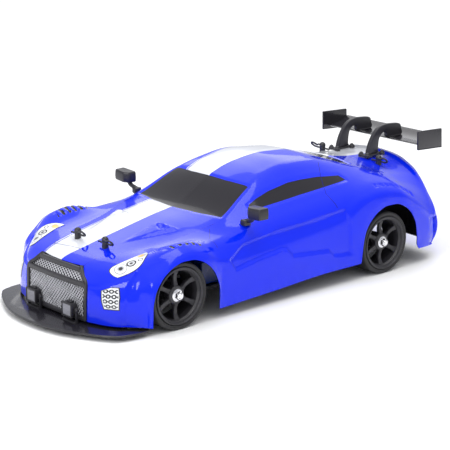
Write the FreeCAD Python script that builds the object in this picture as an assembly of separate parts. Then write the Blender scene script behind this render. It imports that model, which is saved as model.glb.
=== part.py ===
import FreeCAD, Part
import math
import os

from FreeCAD import Vector

# Remote control drift car, about 1:10, millimetres, +X nose, +Y the car's left, +Z up.
# Everything is drawn about the middle of the wheelbase, with the ground at z = 0, and is
# moved along X as it is written, so that the origin lies under the middle of the whole car.

# ---- driving dimensions ----------------------------------------------------------------
WHEELBASE = 260.0
FRONT_X = WHEELBASE / 2
REAR_X = -WHEELBASE / 2
AXLE_Z = 31.0
TYRE_R = 31.0
BEAD_R = 24.4            # where the tyre sits on the rim
KINGPIN_Y = 72.0
SPLITTER_FRONT_X = 226.0
WING_REAR_X = -240.0
ORIGIN_SHIFT = -(SPLITTER_FRONT_X + WING_REAR_X) / 2
SHELL_WALL = 1.2
PLATE_Z = 9.0
PLATE_TOP = 12.0
RUN = 0.05              # radial clearance of a running fit
GAP = 0.4               # clearance between pieces that pass each other
ARM_IN_Y = 26.0         # inner hinge pin of a suspension arm
ARM_OUT_Y = 64.0        # outer hinge pin
ARM_Z = 18.0
PIN_R = 1.5
SPUR_X = -62.0
GEAR_MODULE = 0.6
SPUR_TEETH = 60
PINION_TEETH = 20
STEER_ARM = 23.5        # from the kingpin back to the track rod
TRACK_ROD_X = FRONT_X - STEER_ARM
TRACK_ROD_Z = 44.4

SIDES = {"left": 1, "right": -1}
X, Y, Z = Vector(1, 0, 0), Vector(0, 1, 0), Vector(0, 0, 1)

os.makedirs("parts", exist_ok=True)


# ---- small helpers ---------------------------------------------------------------------
def write(name, *solids):
    """One STEP for one sub-part, from one or several separate solids."""
    shape = solids[0] if len(solids) == 1 else Part.makeCompound(list(solids))
    shape = shape.copy()
    shape.translate(Vector(ORIGIN_SHIFT, 0, 0))
    shape.exportStep(f"parts/{name}.step")
    print(name, len(shape.Solids), "solids, valid", shape.isValid(), round(shape.Volume / 1000, 2), "cm3")


def box(x0, x1, y0, y1, z0, z1):
    """A block between two corners, given in any order."""
    xa, xb = sorted((x0, x1))
    ya, yb = sorted((y0, y1))
    za, zb = sorted((z0, z1))
    return Part.makeBox(xb - xa, yb - ya, zb - za, Vector(xa, ya, za))


def rod(x, y, z, radius, length, axis):
    """A cylinder that starts at a point and runs along an axis."""
    return Part.makeCylinder(radius, length, Vector(x, y, z), axis)


def bar(a, b, radius):
    """A round bar between two points."""
    along = Vector(*b) - Vector(*a)
    return Part.makeCylinder(radius, along.Length, Vector(*a), along)


def across(x, y0, y1, z, radius):
    """A cylinder along Y between two widths."""
    return rod(x, min(y0, y1), z, radius, abs(y1 - y0), Y)


def along(x0, x1, y, z, radius):
    """A cylinder along X between two places."""
    return rod(min(x0, x1), y, z, radius, abs(x1 - x0), X)


def plate(points, z0, z1):
    """A flat plate with the given outline, from one height to another."""
    loop = [Vector(px, py, z0) for px, py in points]
    face = Part.Face(Part.makePolygon(loop + loop[:1]))
    return face.extrude(Vector(0, 0, z1 - z0))


def side_plate(points, y0, y1):
    """A plate that stands along the car, with its outline drawn in X and Z."""
    loop = [Vector(px, y0, pz) for px, pz in points]
    face = Part.Face(Part.makePolygon(loop + loop[:1]))
    return face.extrude(Vector(0, y1 - y0, 0))


def cross_plate(points, x0, x1):
    """A plate that stands across the car, with its outline drawn in Y and Z."""
    loop = [Vector(x0, py, pz) for py, pz in points]
    face = Part.Face(Part.makePolygon(loop + loop[:1]))
    return face.extrude(Vector(x1 - x0, 0, 0))


def prism(sides, across_flats, x, y, z, length, axis=Y):
    """A bar with a regular outline, such as a hexagon, along Y."""
    r = across_flats / 2 / math.cos(math.pi / sides)
    loop = []
    for k in range(sides):
        a = 2 * math.pi * k / sides
        loop.append(Vector(x + r * math.cos(a), y, z + r * math.sin(a)))
    return Part.Face(Part.makePolygon(loop + loop[:1])).extrude(axis * length)


def union(*shapes):
    """Several touching or overlapping solids made one."""
    return shapes[0].fuse(list(shapes[1:])).removeSplitter()


def turned(shape, centre, axis, degrees):
    """The shape turned about an axis through a point."""
    new = shape.copy()
    new.rotate(centre, axis, degrees)
    return new


# ---- the body shell --------------------------------------------------------------------
# Each line runs from the nose to the tail. A point is (s, x, y, z), where s counts the way
# along the middle of the car: x itself between the nose edge and the tail edge, then on down
# the front face (s over 187) and down the rear face (s under -215).
MIDDLE = [(232, 197, 0, 9), (213, 196.5, 0, 28), (200, 195, 0, 42), (187, 188.5, 0, 55), (160, 160, 0, 62.5),
          (120, 120, 0, 71), (85, 85, 0, 78), (57, 57, 0, 83), (12, 13, 0, 106.5), (-15, -15, 0, 115.5),
          (-45, -45, 0, 119.5), (-75, -75, 0, 118), (-100, -100, 0, 112.5), (-135, -135, 0, 103),
          (-170, -170, 0, 97.5), (-200, -200, 0, 96.5), (-215, -217, 0, 98), (-235, -223, 0, 82),
          (-265, -226, 0, 45), (-298, -222, 0, 13)]
CROWN = [(232, 196, 24, 9), (200, 194.5, 24, 42), (187, 187.8, 18, 54.6), (160, 160, 23, 62.3),
         (120, 120, 26, 70.2), (85, 84.5, 28, 77.2), (57, 55.5, 30, 82.6), (12, 12, 27, 105.8),
         (-15, -15.4, 25, 114.7), (-45, -45, 24, 118.8), (-75, -75, 24, 117.2), (-100, -99, 25, 111.8),
         (-135, -134, 27, 102.3), (-170, -169, 28, 96.5), (-200, -199, 30, 95.2), (-215, -216, 31, 96),
         (-235, -222, 32, 82), (-265, -225.5, 34, 45), (-298, -221.5, 34, 13)]
RAIL = [(232, 194.5, 43.4, 9), (213, 193.8, 43.4, 28), (200, 193, 43.2, 41), (187, 186.4, 30, 53.9),
        (172, 173, 36.5, 59.5), (150, 152, 45, 63), (120, 122, 50.5, 66), (85, 83, 56, 73),
        (57, 51, 60.5, 82), (12, 10, 54, 103), (-15, -16, 50, 111), (-45, -45, 48, 115.3),
        (-75, -75, 48, 113.3), (-100, -99, 49, 108), (-135, -134, 51, 99), (-170, -169, 52, 91),
        (-200, -199, 53, 88), (-215, -213.5, 54, 87), (-235, -219, 56, 78), (-265, -224, 60, 45),
        (-298, -219.5, 60, 13)]
BELT = [(232, 186.5, 68, 8.7), (213, 187, 66, 28), (200, 184, 64, 42), (187, 178, 60, 54),
        (165, 160, 62, 60.5), (140, 139.6, 65, 65), (120, 121, 68, 67), (85, 85, 71, 71),
        (57, 57, 72.5, 76), (12, 12, 74, 87),
        (-45, -45, 75, 93), (-75, -75, 75, 95), (-100, -99, 74, 96), (-135, -135, 71, 94.5),
        (-170, -169, 69, 88), (-200, -198, 68, 81), (-215, -211, 68, 78), (-235, -216, 71, 66),
        (-265, -221, 77, 42), (-298, -217, 77, 13.5)]
SHOULDER = [(232, 173, 84, 8.5), (213, 173, 83, 28), (200, 170, 81.5, 42), (187, 163, 80.5, 53),
            (165, 152, 82, 64), (140, 137, 84, 72.5), (120, 119, 85, 75.5), (100, 101, 86, 73),
            (85, 85, 87.5, 69.5), (57, 57, 88.5, 69.5), (12, 12, 89, 74), (-45, -45, 89, 79.5),
            (-75, -75, 89, 83), (-100, -99, 89, 88), (-125, -123, 88.5, 90.5), (-150, -147, 88.5, 87.5),
            (-170, -169, 88.5, 78), (-200, -196, 87, 64), (-215, -206, 86.5, 58), (-235, -212, 88.5, 50),
            (-265, -216, 90, 32), (-298, -209, 89, 14.5)]
FLANK = [(232, 164, 93, 8.3), (213, 165, 92.5, 25), (200, 165, 92, 38), (187, 162, 92.5, 48),
         (165, 149, 94, 60), (140, 134, 95.5, 68.5), (120, 117, 96, 70.5), (100, 99, 96, 65.5),
         (85, 83, 95.5, 57), (57, 57, 95, 54), (12, 12, 95, 56), (-45, -45, 95, 60), (-75, -75, 96, 66),
         (-100, -99, 97.5, 80), (-125, -123, 98, 84), (-150, -147, 98, 80.5), (-170, -169, 97.5, 68),
         (-200, -194, 95.5, 48), (-235, -204, 94, 38), (-298, -200, 93.5, 15)]
SKIRT = [(232, 163, 95.5, 8.2), (213, 164, 96.5, 25), (187, 162, 97, 43), (165, 151, 97.5, 55),
         (140, 135, 98.5, 65), (120, 118, 98.5, 66.5), (100, 100, 98.5, 60), (87, 86, 98, 45),
         (80, 80, 97.5, 39), (57, 57, 97, 38),
         (12, 12, 97, 39), (-45, -45, 97, 40), (-75, -75, 98, 42), (-90, -91, 99, 51), (-106, -106, 99.5, 68),
         (-130, -129, 99.7, 76), (-155, -152.5, 99.5, 71.5), (-178, -173, 98.5, 52), (-200, -184, 97.5, 37),
         (-235, -190, 96.8, 27), (-298, -189, 96, 15.7)]

# the wheel openings: middle x, middle z, radius, and the angle that each row of the body meets
FRONT_ARCH = (124.0, 24.5, 38.5)
REAR_ARCH = (-134.6, 31.0, 38.5)
LIP_Y = 99.5
FRONT_ARCH_ROWS = {213: 0, 187: 20, 165: 42, 150: 56, 140: 70, 130: 84, 120: 98, 110: 112, 100: 128, 92: 145,
                   87: 170}
REAR_ARCH_ROWS = {-90: 0, -97: 25, -106: 45, -117: 63, -130: 82, -143: 100, -155: 118, -165: 137, -178: 160,
                  -200: 180}


def lip(arch, rows):
    """The edge of a wheel opening as points of the hem line, round an arc."""
    x, z, r = arch
    turn = {s: math.radians(a) for s, a in rows.items()}
    return [(s, x + r * math.cos(a), LIP_Y, z + r * math.sin(a)) for s, a in turn.items()]


HEM = ([(232, 161, 97, 8)] + lip(FRONT_ARCH, FRONT_ARCH_ROWS)
       + [(82, 84.5, 97.5, 10), (57, 57, 97, 11), (12, 12, 97, 13), (-45, -45, 97, 16), (-84, -95, 98.5, 17)]
       + lip(REAR_ARCH, REAR_ARCH_ROWS) + [(-235, -174.5, 98.5, 22), (-298, -178, 98, 16.5)])
BODY_LINES = [MIDDLE, CROWN, RAIL, BELT, SHOULDER, FLANK, SKIRT, HEM]
# how far each line's corner is rounded, as a share of the way to the next line
ROUNDING = [0.5, 0.45, 0.28, 0.4, 0.42, 0.4, 0.4, 0.0]
# how a line moves across and down when the wall's thickness is taken off it
INWARD = [(0, 1), (0.1, 1), (0.6, 0.85), (0.5, 0.85), (0.6, 0.8), (1, 0.3), (1, 0), (1, 0)]
NOSE_S, NOSE_EDGE_S = 232.0, 187.0
TAIL_S, TAIL_EDGE_S = -298.0, -215.0
END_TURN = 15.0
ROW_STEP = 9.0
FLAT_STEPS = 4


def on_line(line, s):
    """A point on a body line: a cubic through its points that never overshoots them."""
    pts = sorted(line)
    k = max(i for i in range(len(pts) - 1) if pts[i][0] <= s or i == 0)
    span = pts[k + 1][0] - pts[k][0]
    t = (s - pts[k][0]) / span

    def slope(i, c):
        if i == 0 or i == len(pts) - 1:
            j = min(max(i, 1), len(pts) - 1)
            return (pts[j][c] - pts[j - 1][c]) / (pts[j][0] - pts[j - 1][0])
        before = (pts[i][c] - pts[i - 1][c]) / (pts[i][0] - pts[i - 1][0])
        after = (pts[i + 1][c] - pts[i][c]) / (pts[i + 1][0] - pts[i][0])
        return 0.0 if before * after <= 0 else 2 * before * after / (before + after)

    out = []
    for c in (1, 2, 3):
        a, b = pts[k][c], pts[k + 1][c]
        ma, mb = slope(k, c) * span, slope(k + 1, c) * span
        out.append((2 * t**3 - 3 * t**2 + 1) * a + (t**3 - 2 * t**2 + t) * ma
                   + (3 * t**2 - 2 * t**3) * b + (t**3 - t**2) * mb)
    return Vector(*out)


def section(s, depth):
    """Half of one cross-section: flats between the lines, each corner a parabola arc.

    The inner side of the wall is the same section with every line moved in by the depth.
    """
    end = min(max((s - NOSE_EDGE_S) / END_TURN, 0.0), 1.0) - min(max((TAIL_EDGE_S - s) / END_TURN, 0.0), 1.0)
    corner = []
    for line, (share_y, share_z) in zip(BODY_LINES, INWARD):
        level = 1.0 - abs(end)
        inward = Vector(end * share_z, share_y, level * share_z)
        corner.append(on_line(line, s) - inward * depth)
    points = [corner[0]]
    for k in range(1, len(corner) - 1):
        a = corner[k] + (corner[k - 1] - corner[k]) * ROUNDING[k]
        b = corner[k] + (corner[k + 1] - corner[k]) * ROUNDING[k]
        for i in range(FLAT_STEPS):
            t = i / (FLAT_STEPS - 1)
            points.append(a * (1 - t)**2 + corner[k] * 2 * t * (1 - t) + b * t**2)
    points.append(corner[-1])
    return points


def row_places():
    """Where the rows lie: at every point of the hem line, and between them no wider than a step."""
    marks = sorted((p[0] for p in HEM), reverse=True)
    places = [marks[0]]
    for a, b in zip(marks, marks[1:]):
        count = math.ceil((a - b) / ROW_STEP)
        places += [a + (b - a) * i / count for i in range(1, count + 1)]
    return places


def body_grid(depth):
    """Rows of points over the whole car, from the right hem over the top to the left hem."""
    rows = []
    for s in row_places():
        half = section(s, depth)
        rows.append([Vector(p.x, -p.y, p.z) for p in reversed(half[1:])] + half)
    return rows


def skin(rows):
    """One smooth face through a grid of points."""
    surface = Part.BSplineSurface()
    surface.interpolate([list(r) for r in rows])
    return surface


def make_body_shell():
    """A closed thin wall: outer skin, inner skin and the four rims between them."""
    outer = skin(body_grid(0.0))
    inner = skin(body_grid(SHELL_WALL))
    rims = []
    for pick in ("u0", "u1", "v0", "v1"):
        ends = []
        for surface in (outer, inner):
            u0, u1, v0, v1 = surface.bounds()
            if pick[0] == "u":
                curve = surface.uIso(u0 if pick == "u0" else u1)
            else:
                curve = surface.vIso(v0 if pick == "v0" else v1)
            ends.append(curve.toShape())
        rims.append(Part.makeRuledSurface(*ends))
    sewn = Part.makeShell([outer.toShape(), inner.toShape()] + rims)
    sewn.sewShape()
    solid = Part.Solid(Part.Shell(sewn.Faces) if sewn.ShapeType != "Shell" else sewn)
    if solid.Volume < 0:
        solid.reverse()
    return solid


POST_X_FRONT, POST_Y_FRONT = 154.1, 20.7
POST_X_REAR, POST_Y_REAR = -177.1, 40.5
POST_R = 3.0
POSTS = {
    "front_left": (POST_X_FRONT, POST_Y_FRONT, 72.7),
    "front_right": (POST_X_FRONT, -POST_Y_FRONT, 72.7),
    "rear_left": (POST_X_REAR, POST_Y_REAR, 101.0),
    "rear_right": (POST_X_REAR, -POST_Y_REAR, 101.0),
}

shell = make_body_shell()
for px, py, _ in POSTS.values():
    shell = shell.cut(rod(px, py, 50, POST_R + 0.5, 60, Z))
write("body_shell", shell)

# ---- pieces fixed to the body shell ----------------------------------------------------
# the splitter: a flat blade under the nose, with two pegs up to the bumper block
SPLITTER_HALF = [(226, 0), (225.5, 20), (222, 36), (216, 50), (206, 70), (195, 86), (186, 92), (172, 94),
                 (161, 93), (161, 85), (173, 78), (180, 60), (186, 40), (184, 24), (178, 22), (178, 0)]
SPLITTER_LOW, SPLITTER_TOP = 4.0, 6.2
splitter_outline = SPLITTER_HALF + [(px, -py) for px, py in reversed(SPLITTER_HALF[1:-1])]
splitter = plate(splitter_outline, SPLITTER_LOW, SPLITTER_TOP)
pegs = [rod(182, y, SPLITTER_TOP, 2.5, PLATE_TOP - SPLITTER_TOP, Z) for y in (-14, 14)]
write("front_splitter", union(splitter, *pegs))

# the grille: a frame of three bars and two sides, with two mesh panels of upright and level wires
GRILLE_TOP, GRILLE_MID, GRILLE_LOW = (187.5, 29.2, 53.7), (194.2, 43.2, 41.0), (195.5, 43.4, 9.1)
BAR_R = 1.7


def grille_bars():
    """The black frame, drawn as bars between the corners of the opening."""
    bars = []
    corners = [GRILLE_TOP, GRILLE_MID, GRILLE_LOW]
    for x, y, z in corners:
        bars.append(bar((x, -y, z), (x, y, z), BAR_R))
    for a, b in zip(corners, corners[1:]):
        for side in (1, -1):
            bars.append(bar((a[0], side * a[1], a[2]), (b[0], side * b[1], b[2]), BAR_R))
            bars.append(Part.makeSphere(BAR_R, Vector(a[0], side * a[1], a[2])))
    x, y, z = GRILLE_LOW
    bars += [Part.makeSphere(BAR_R, Vector(x, side * y, z)) for side in (1, -1)]
    return bars


MESH_PITCH = 6.0
MESH_R = 0.5
wires = []
for k in range(-6, 7):
    y = k * MESH_PITCH
    wires.append(bar((GRILLE_MID[0], y, GRILLE_MID[2]), (GRILLE_LOW[0], y, GRILLE_LOW[2]), MESH_R))
    if abs(y) < GRILLE_TOP[1]:
        wires.append(bar((GRILLE_TOP[0], y, GRILLE_TOP[2]), (GRILLE_MID[0], y, GRILLE_MID[2]), MESH_R))
for z in (17.0, 25.0, 33.0):
    x = GRILLE_LOW[0] + (GRILLE_MID[0] - GRILLE_LOW[0]) * (z - GRILLE_LOW[2]) / (GRILLE_MID[2] - GRILLE_LOW[2])
    wires.append(bar((x, -GRILLE_MID[1], z), (x, GRILLE_MID[1], z), MESH_R))
write("grille", union(*(grille_bars() + wires)))

# two square fog lamps on brackets that stand on the splitter
LAMP_X, LAMP_Y, LAMP_Z = 197.4, 27.5, 17.5
LAMP_SIZE = 14.5
lamps, lenses = [], []
for side in (1, -1):
    y = side * LAMP_Y
    half_size = LAMP_SIZE / 2
    case = box(LAMP_X, LAMP_X + 6, y - half_size, y + half_size, LAMP_Z - half_size, LAMP_Z + half_size)
    case = case.cut(box(LAMP_X + 4, LAMP_X + 6, y - 6.2, y + 6.2, LAMP_Z - 6.2, LAMP_Z + 6.2))
    foot = box(LAMP_X + 1, LAMP_X + 5, y - 3, y + 3, SPLITTER_TOP, LAMP_Z - half_size)
    ears = box(LAMP_X + 1, LAMP_X + 4, y - half_size - 1.5, y + half_size + 1.5, LAMP_Z - 2, LAMP_Z + 2)
    lamps.append(union(case, foot, ears.cut(box(LAMP_X + 2, LAMP_X + 6, y - 6, y + 6, 0, 60))))
    lenses.append(box(LAMP_X + 4, LAMP_X + 6.6, y - 6.1, y + 6.1, LAMP_Z - 6.1, LAMP_Z + 6.1))
write("fog_lamp_cases", *lamps)
write("fog_lamp_lenses", *lenses)

# door mirrors: a foot on the door, an arm and a wedge-shaped housing
mirrors = []
for side in (1, -1):
    foot = cross_plate([(side * 77.5, 79.6), (side * 83.5, 75.9), (side * 85, 79), (side * 79.5, 83)], 36, 41)
    arm = bar((38, side * 81, 79.5), (38, side * 92, 87), 1.8)
    housing_outline = [(33, 86), (42, 86), (46, 92), (44, 106), (34, 107)]
    housing = plate([(px, side * py) for px, py in housing_outline], 84, 93)
    mirrors.append(union(foot, arm, housing))
write("door_mirrors", *mirrors)

# the rear wing: a cambered plane, two upright end plates and two swan-neck struts
WING_HALF = 67.0
WING_CHORD = [(-204.5, 112.5), (-213, 110.8), (-222, 110.8), (-231, 112.6), (-239.5, 117.5), (-240, 118.6),
              (-231, 114.2), (-222, 112.6), (-213, 112.7), (-204.5, 114.2)]
wing = side_plate(WING_CHORD, -WING_HALF, WING_HALF)
end_plates = [side_plate([(-204.5, 108), (-204, 127.3), (-239, 125.6), (-240, 106)],
                         side * WING_HALF if side > 0 else -WING_HALF - 1.8,
                         WING_HALF + 1.8 if side > 0 else -WING_HALF) for side in (1, -1)]
write("rear_wing", union(wing, *end_plates))

STRUT_Y = 21.5
STRUT_BOLTS = (-176.9, -195.6)
FOOT_Z, FOOT_TOP = 97.6, 99.6
BOLT_R = 2.4
STRUT_SIDE = [(-180.5, FOOT_Z), (-191, FOOT_Z), (-196, 109), (-199, 117.5), (-204, 121.5), (-207.5, 121.5),
              (-208, 114),
              (-222, 114), (-223, 122.5), (-219, 128), (-208, 129), (-199, 127.3), (-192, 121), (-187, 110)]
struts, bolts = [], []
for side in (1, -1):
    y = side * STRUT_Y
    blade = side_plate(STRUT_SIDE, y - 2.3, y + 2.3)
    foot = box(STRUT_BOLTS[1] - 3.4, STRUT_BOLTS[0] + 3.4, y - 4, y + 4, FOOT_Z, FOOT_TOP)
    struts.append(union(blade, foot))
    for px in STRUT_BOLTS:
        ball = Part.makeSphere(BOLT_R, Vector(px, y, FOOT_TOP))
        above = box(px - BOLT_R, px + BOLT_R, y - BOLT_R, y + BOLT_R, FOOT_TOP, FOOT_TOP + BOLT_R)
        bolts.append(ball.common(above))
write("wing_struts", *struts)
write("wing_bolts", *bolts)

# ---- chassis ---------------------------------------------------------------------------
PLATE_HALF = [(175, 22), (152, 26), (108, 26), (98, 44), (-98, 44), (-108, 26), (-152, 26), (-175, 30)]
outline = PLATE_HALF + [(px, -py) for px, py in reversed(PLATE_HALF)]
write("chassis_plate", plate(outline, PLATE_Z, PLATE_TOP))

GEARBOX_HALF_X, GEARBOX_HALF_Y, GEARBOX_TOP = 19.0, 16.0, 49.0
OUTDRIVE_R = 5.5
SHAFT_R = 3.0
PIN_BLOCK_X = 15.0


def gearbox(x, inner):
    """A hollow housing with side bores for the outdrives and one for the centre shaft."""
    case = box(x - GEARBOX_HALF_X, x + GEARBOX_HALF_X, -GEARBOX_HALF_Y, GEARBOX_HALF_Y, PLATE_TOP, GEARBOX_TOP)
    case = case.cut(box(x - 16.5, x + 16.5, -12, 12, PLATE_TOP + 2, GEARBOX_TOP - 2))
    case = case.cut(across(x, -20, 20, AXLE_Z, OUTDRIVE_R + RUN))
    case = case.cut(along(x, x + inner * 30, 0, AXLE_Z, SHAFT_R + RUN))
    blocks = []
    for side in (1, -1):
        for end in (1, -1):
            near, far = x + end * PIN_BLOCK_X, x + end * GEARBOX_HALF_X
            blocks.append(box(near, far, side * 15, side * 30, PLATE_TOP, 22.5))
    case = union(case, *blocks)
    for side in (1, -1):
        case = case.cut(along(x - 30, x + 30, side * ARM_IN_Y, ARM_Z, PIN_R))
    return case


inner_pins = []
for x in (FRONT_X, REAR_X):
    for side in (1, -1):
        inner_pins.append(along(x - GEARBOX_HALF_X, x + GEARBOX_HALF_X, side * ARM_IN_Y, ARM_Z, PIN_R))
write("gearboxes", gearbox(FRONT_X, -1), gearbox(REAR_X, 1), *inner_pins)

DECK_Z = 50.0
deck = union(box(-100, 100, -5, 5, DECK_Z, DECK_Z + 2), box(60, 112, -12, 12, DECK_Z, DECK_Z + 2),
             box(-112, -70, -12, 12, DECK_Z, DECK_Z + 2))
write("top_deck", deck)
write("front_bumper_foam", plate([(168, -46), (168, 46), (176, 50), (184, 42), (187, 22), (187, -22),
                                  (184, -42), (176, -50)], PLATE_TOP, 40.0))

# shock towers stand off the gearbox ends; the rear one is taller
SHOCK_X = 23.0
FRONT_SHOCK = ((26.0, 52.0), (52.0, 21.0))
REAR_SHOCK = ((31.0, 66.0), (53.0, 21.0))
SHOCK_R = 5.0
SHOCK_BORE = 3.8
ROD_R = 1.25


def tower(x, outward, top_y, top_z, y_post):
    """An upright plate with the shocks' upper ends and the body posts' feet."""
    x0, x1 = sorted((x + outward * GEARBOX_HALF_X, x + outward * (GEARBOX_HALF_X + 3)))
    wide = max(top_y + 4, y_post + 4)
    outline = [(-14, PLATE_TOP), (14, PLATE_TOP), (14, 34), (wide, top_z - 6), (wide, top_z + 4),
               (-wide, top_z + 4), (-wide, top_z - 6), (-14, 34)]
    return cross_plate(outline, x0, x1)


def shock_axis(x, outward, side, ends):
    """The upper and lower end of one shock."""
    (top_y, top_z), (low_y, low_z) = ends
    px = x + outward * (SHOCK_X + 6)
    return Vector(px, side * top_y, top_z), Vector(px, side * low_y, low_z)


corners = [("front", FRONT_X, 1, FRONT_SHOCK), ("rear", REAR_X, -1, REAR_SHOCK)]
towers, cylinders, posts = [], [], []
for end, x, outward, ends in corners:
    towers.append(tower(x, outward, *ends[0], POST_Y_FRONT if end == "front" else POST_Y_REAR))
    for side in (1, -1):
        top, low = shock_axis(x, outward, side, ends)
        down = (low - top).normalize()
        length = (low - top).Length
        cylinder = Part.makeCylinder(SHOCK_R, length * 0.5, top, down)
        cylinder = cylinder.cut(Part.makeCylinder(SHOCK_BORE, length * 0.5 - 2, top + down * 2.1, down))
        stem_x = x + outward * (GEARBOX_HALF_X + 3)
        stem = along(stem_x, top.x, side * ends[0][0], ends[0][1], 2.0)
        cylinders.append(union(cylinder, stem))
write("shock_towers", *towers)
write("shock_cylinders", *cylinders)

for name, (px, py, pz) in POSTS.items():
    outward = 1 if px > 0 else -1
    low_z = FRONT_SHOCK[0][1] + 4 if px > 0 else REAR_SHOCK[0][1] + 4
    x_in = (FRONT_X if px > 0 else REAR_X) + outward * (GEARBOX_HALF_X + 1.5)
    stalk = rod(px, py, low_z, POST_R, pz - 2.0 - low_z, Z)
    ball = Part.makeSphere(POST_R + 0.3, Vector(px, py, pz - 2.0))
    foot = box(x_in - 1.5, px, py - 2.5, py + 2.5, low_z, low_z + 3)
    hole = across(px, py - 6, py + 6, pz - 5.0, 0.85)
    posts.append(union(stalk, ball, foot).cut(hole))
write("body_posts", *posts)

# ---- power and radio -------------------------------------------------------------------
MOTOR_Y = -(SPUR_TEETH + PINION_TEETH) * GEAR_MODULE / 2
MOTOR_R = 17.9
MOTOR_X0, MOTOR_X1 = -54.0, -4.0
motor = along(MOTOR_X0, MOTOR_X1, MOTOR_Y, AXLE_Z, MOTOR_R)
motor = motor.cut(along(MOTOR_X0 - 1, MOTOR_X0 + 6, MOTOR_Y, AXLE_Z, 1.6 + RUN))
for k in range(6):
    vent = box(-24, -12, MOTOR_Y + 14.5, MOTOR_Y + 20, AXLE_Z - 2, AXLE_Z + 2)
    motor = motor.cut(turned(vent, Vector(0, MOTOR_Y, AXLE_Z), X, 60 * k))
write("motor", motor)
mount = box(-57, -54, -44, -6, PLATE_TOP, 50)
mount = mount.cut(along(-60, -50, MOTOR_Y, AXLE_Z, 4.0))
write("motor_mount", mount)

BATTERY = (-38.0, 58.0, 7.0, 41.0, PLATE_TOP, 37.0)
pack = box(*BATTERY)
pack = pack.makeFillet(3.0, [e for e in pack.Edges if abs(e.Vertexes[0].X - e.Vertexes[1].X) > 50])
write("battery_pack", pack)
strap = box(8, 22, 5.6, 42.6, PLATE_TOP, 38.4)
strap = strap.cut(box(0, 30, 6.8, 41.2, PLATE_TOP, 37.2))
write("battery_strap", strap)

controller = box(6, 44, -42, -12, PLATE_TOP, 30)
fins = [box(8, 42, -40 + 5 * k, -37.6 + 5 * k, 30, 38) for k in range(6)]
write("speed_controller", union(controller, *fins))
write("receiver", box(-96, -70, 16, 40, PLATE_TOP, 26))

SERVO_X, SERVO_Y = TRACK_ROD_X - STEER_ARM, -20.0
servo = box(SERVO_X - 26, SERVO_X + 10, SERVO_Y - 10, SERVO_Y + 10, PLATE_TOP, 35)
servo_ears = box(SERVO_X - 31, SERVO_X + 15, SERVO_Y - 10, SERVO_Y + 10, 27, 29.5)
boss = rod(SERVO_X, SERVO_Y, 35, 5.0, 2.0, Z)
spline = rod(SERVO_X, SERVO_Y, 37, 2.5, 3.0, Z)
write("steering_servo", union(servo, servo_ears, boss, spline))

# ---- steering --------------------------------------------------------------------------
HORN_Z0, HORN_Z1 = 37.0 + GAP, 40.0
STUD_R, STUD_LENGTH = 1.2, 8.0
EYE_Z0, EYE_Z1 = TRACK_ROD_Z - 1.7, TRACK_ROD_Z + 1.7
EYE_OUT_R, EYE_HOLE_R = 3.2, 2.2


def link_arm(x0, y0, x1, y1, z0, z1, r0, r1):
    """A flat lever between two round ends."""
    way = Vector(x1 - x0, y1 - y0, 0).normalize()
    side_way = Vector(-way.y, way.x, 0)
    a, b = Vector(x0, y0, 0), Vector(x1, y1, 0)
    loop = [a + side_way * r0, b + side_way * r1, b - side_way * r1, a - side_way * r0]
    blade = plate([(p.x, p.y) for p in loop], z0, z1)
    return union(blade, rod(x0, y0, z0, r0, z1 - z0, Z), rod(x1, y1, z0, r1, z1 - z0, Z))


horn = link_arm(SERVO_X, SERVO_Y, TRACK_ROD_X, SERVO_Y, HORN_Z0, HORN_Z1, 5.0, 2.6)
horn = horn.cut(rod(SERVO_X, SERVO_Y, 30, 2.5 + RUN, 20, Z))
write("servo_horn", union(horn, rod(TRACK_ROD_X, SERVO_Y, HORN_Z1, STUD_R, STUD_LENGTH, Z)))

KNUCKLE_ARM_Y = 65.0
# how far each slotted eye reaches behind and ahead of the rod, for the studs swing round their pivots
EYES = {-KNUCKLE_ARM_Y: (-0.4, 3.8), SERVO_Y: (-1.1, -0.3), KNUCKLE_ARM_Y: (-0.4, 3.8)}


def slot(y, reach, radius, z0, z1):
    """A bar with round ends that stands across the rod's line."""
    x0, x1 = TRACK_ROD_X + reach[0], TRACK_ROD_X + reach[1]
    middle = box(x0, x1, y - radius, y + radius, z0, z1)
    return union(middle, rod(x0, y, z0, radius, z1 - z0, Z), rod(x1, y, z0, radius, z1 - z0, Z))


track = union(across(TRACK_ROD_X, -KNUCKLE_ARM_Y, KNUCKLE_ARM_Y, TRACK_ROD_Z, 1.5),
              *[slot(y, reach, EYE_OUT_R, EYE_Z0, EYE_Z1) for y, reach in EYES.items()])
for y, reach in EYES.items():
    track = track.cut(slot(y, reach, EYE_HOLE_R, EYE_Z0 - 1, EYE_Z1 + 1))
write("track_rod", track)

# ---- suspension and wheels, one corner at a time ----------------------------------------
CARRIER_WALL = (59.0, 62.0)
LUG_LOW, LUG_HIGH = (16.4, 20.6), (41.4, 45.2)
BEARING_R = 6.0
HEX_Y = 85.0
DRIVE_BALL_R = 2.0
DRIVE_BALLS_Y = (20.0, 68.0)
DRIVE_SHAFT_R = 1.2
CUP_FLOOR_Y = 70.6


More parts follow.
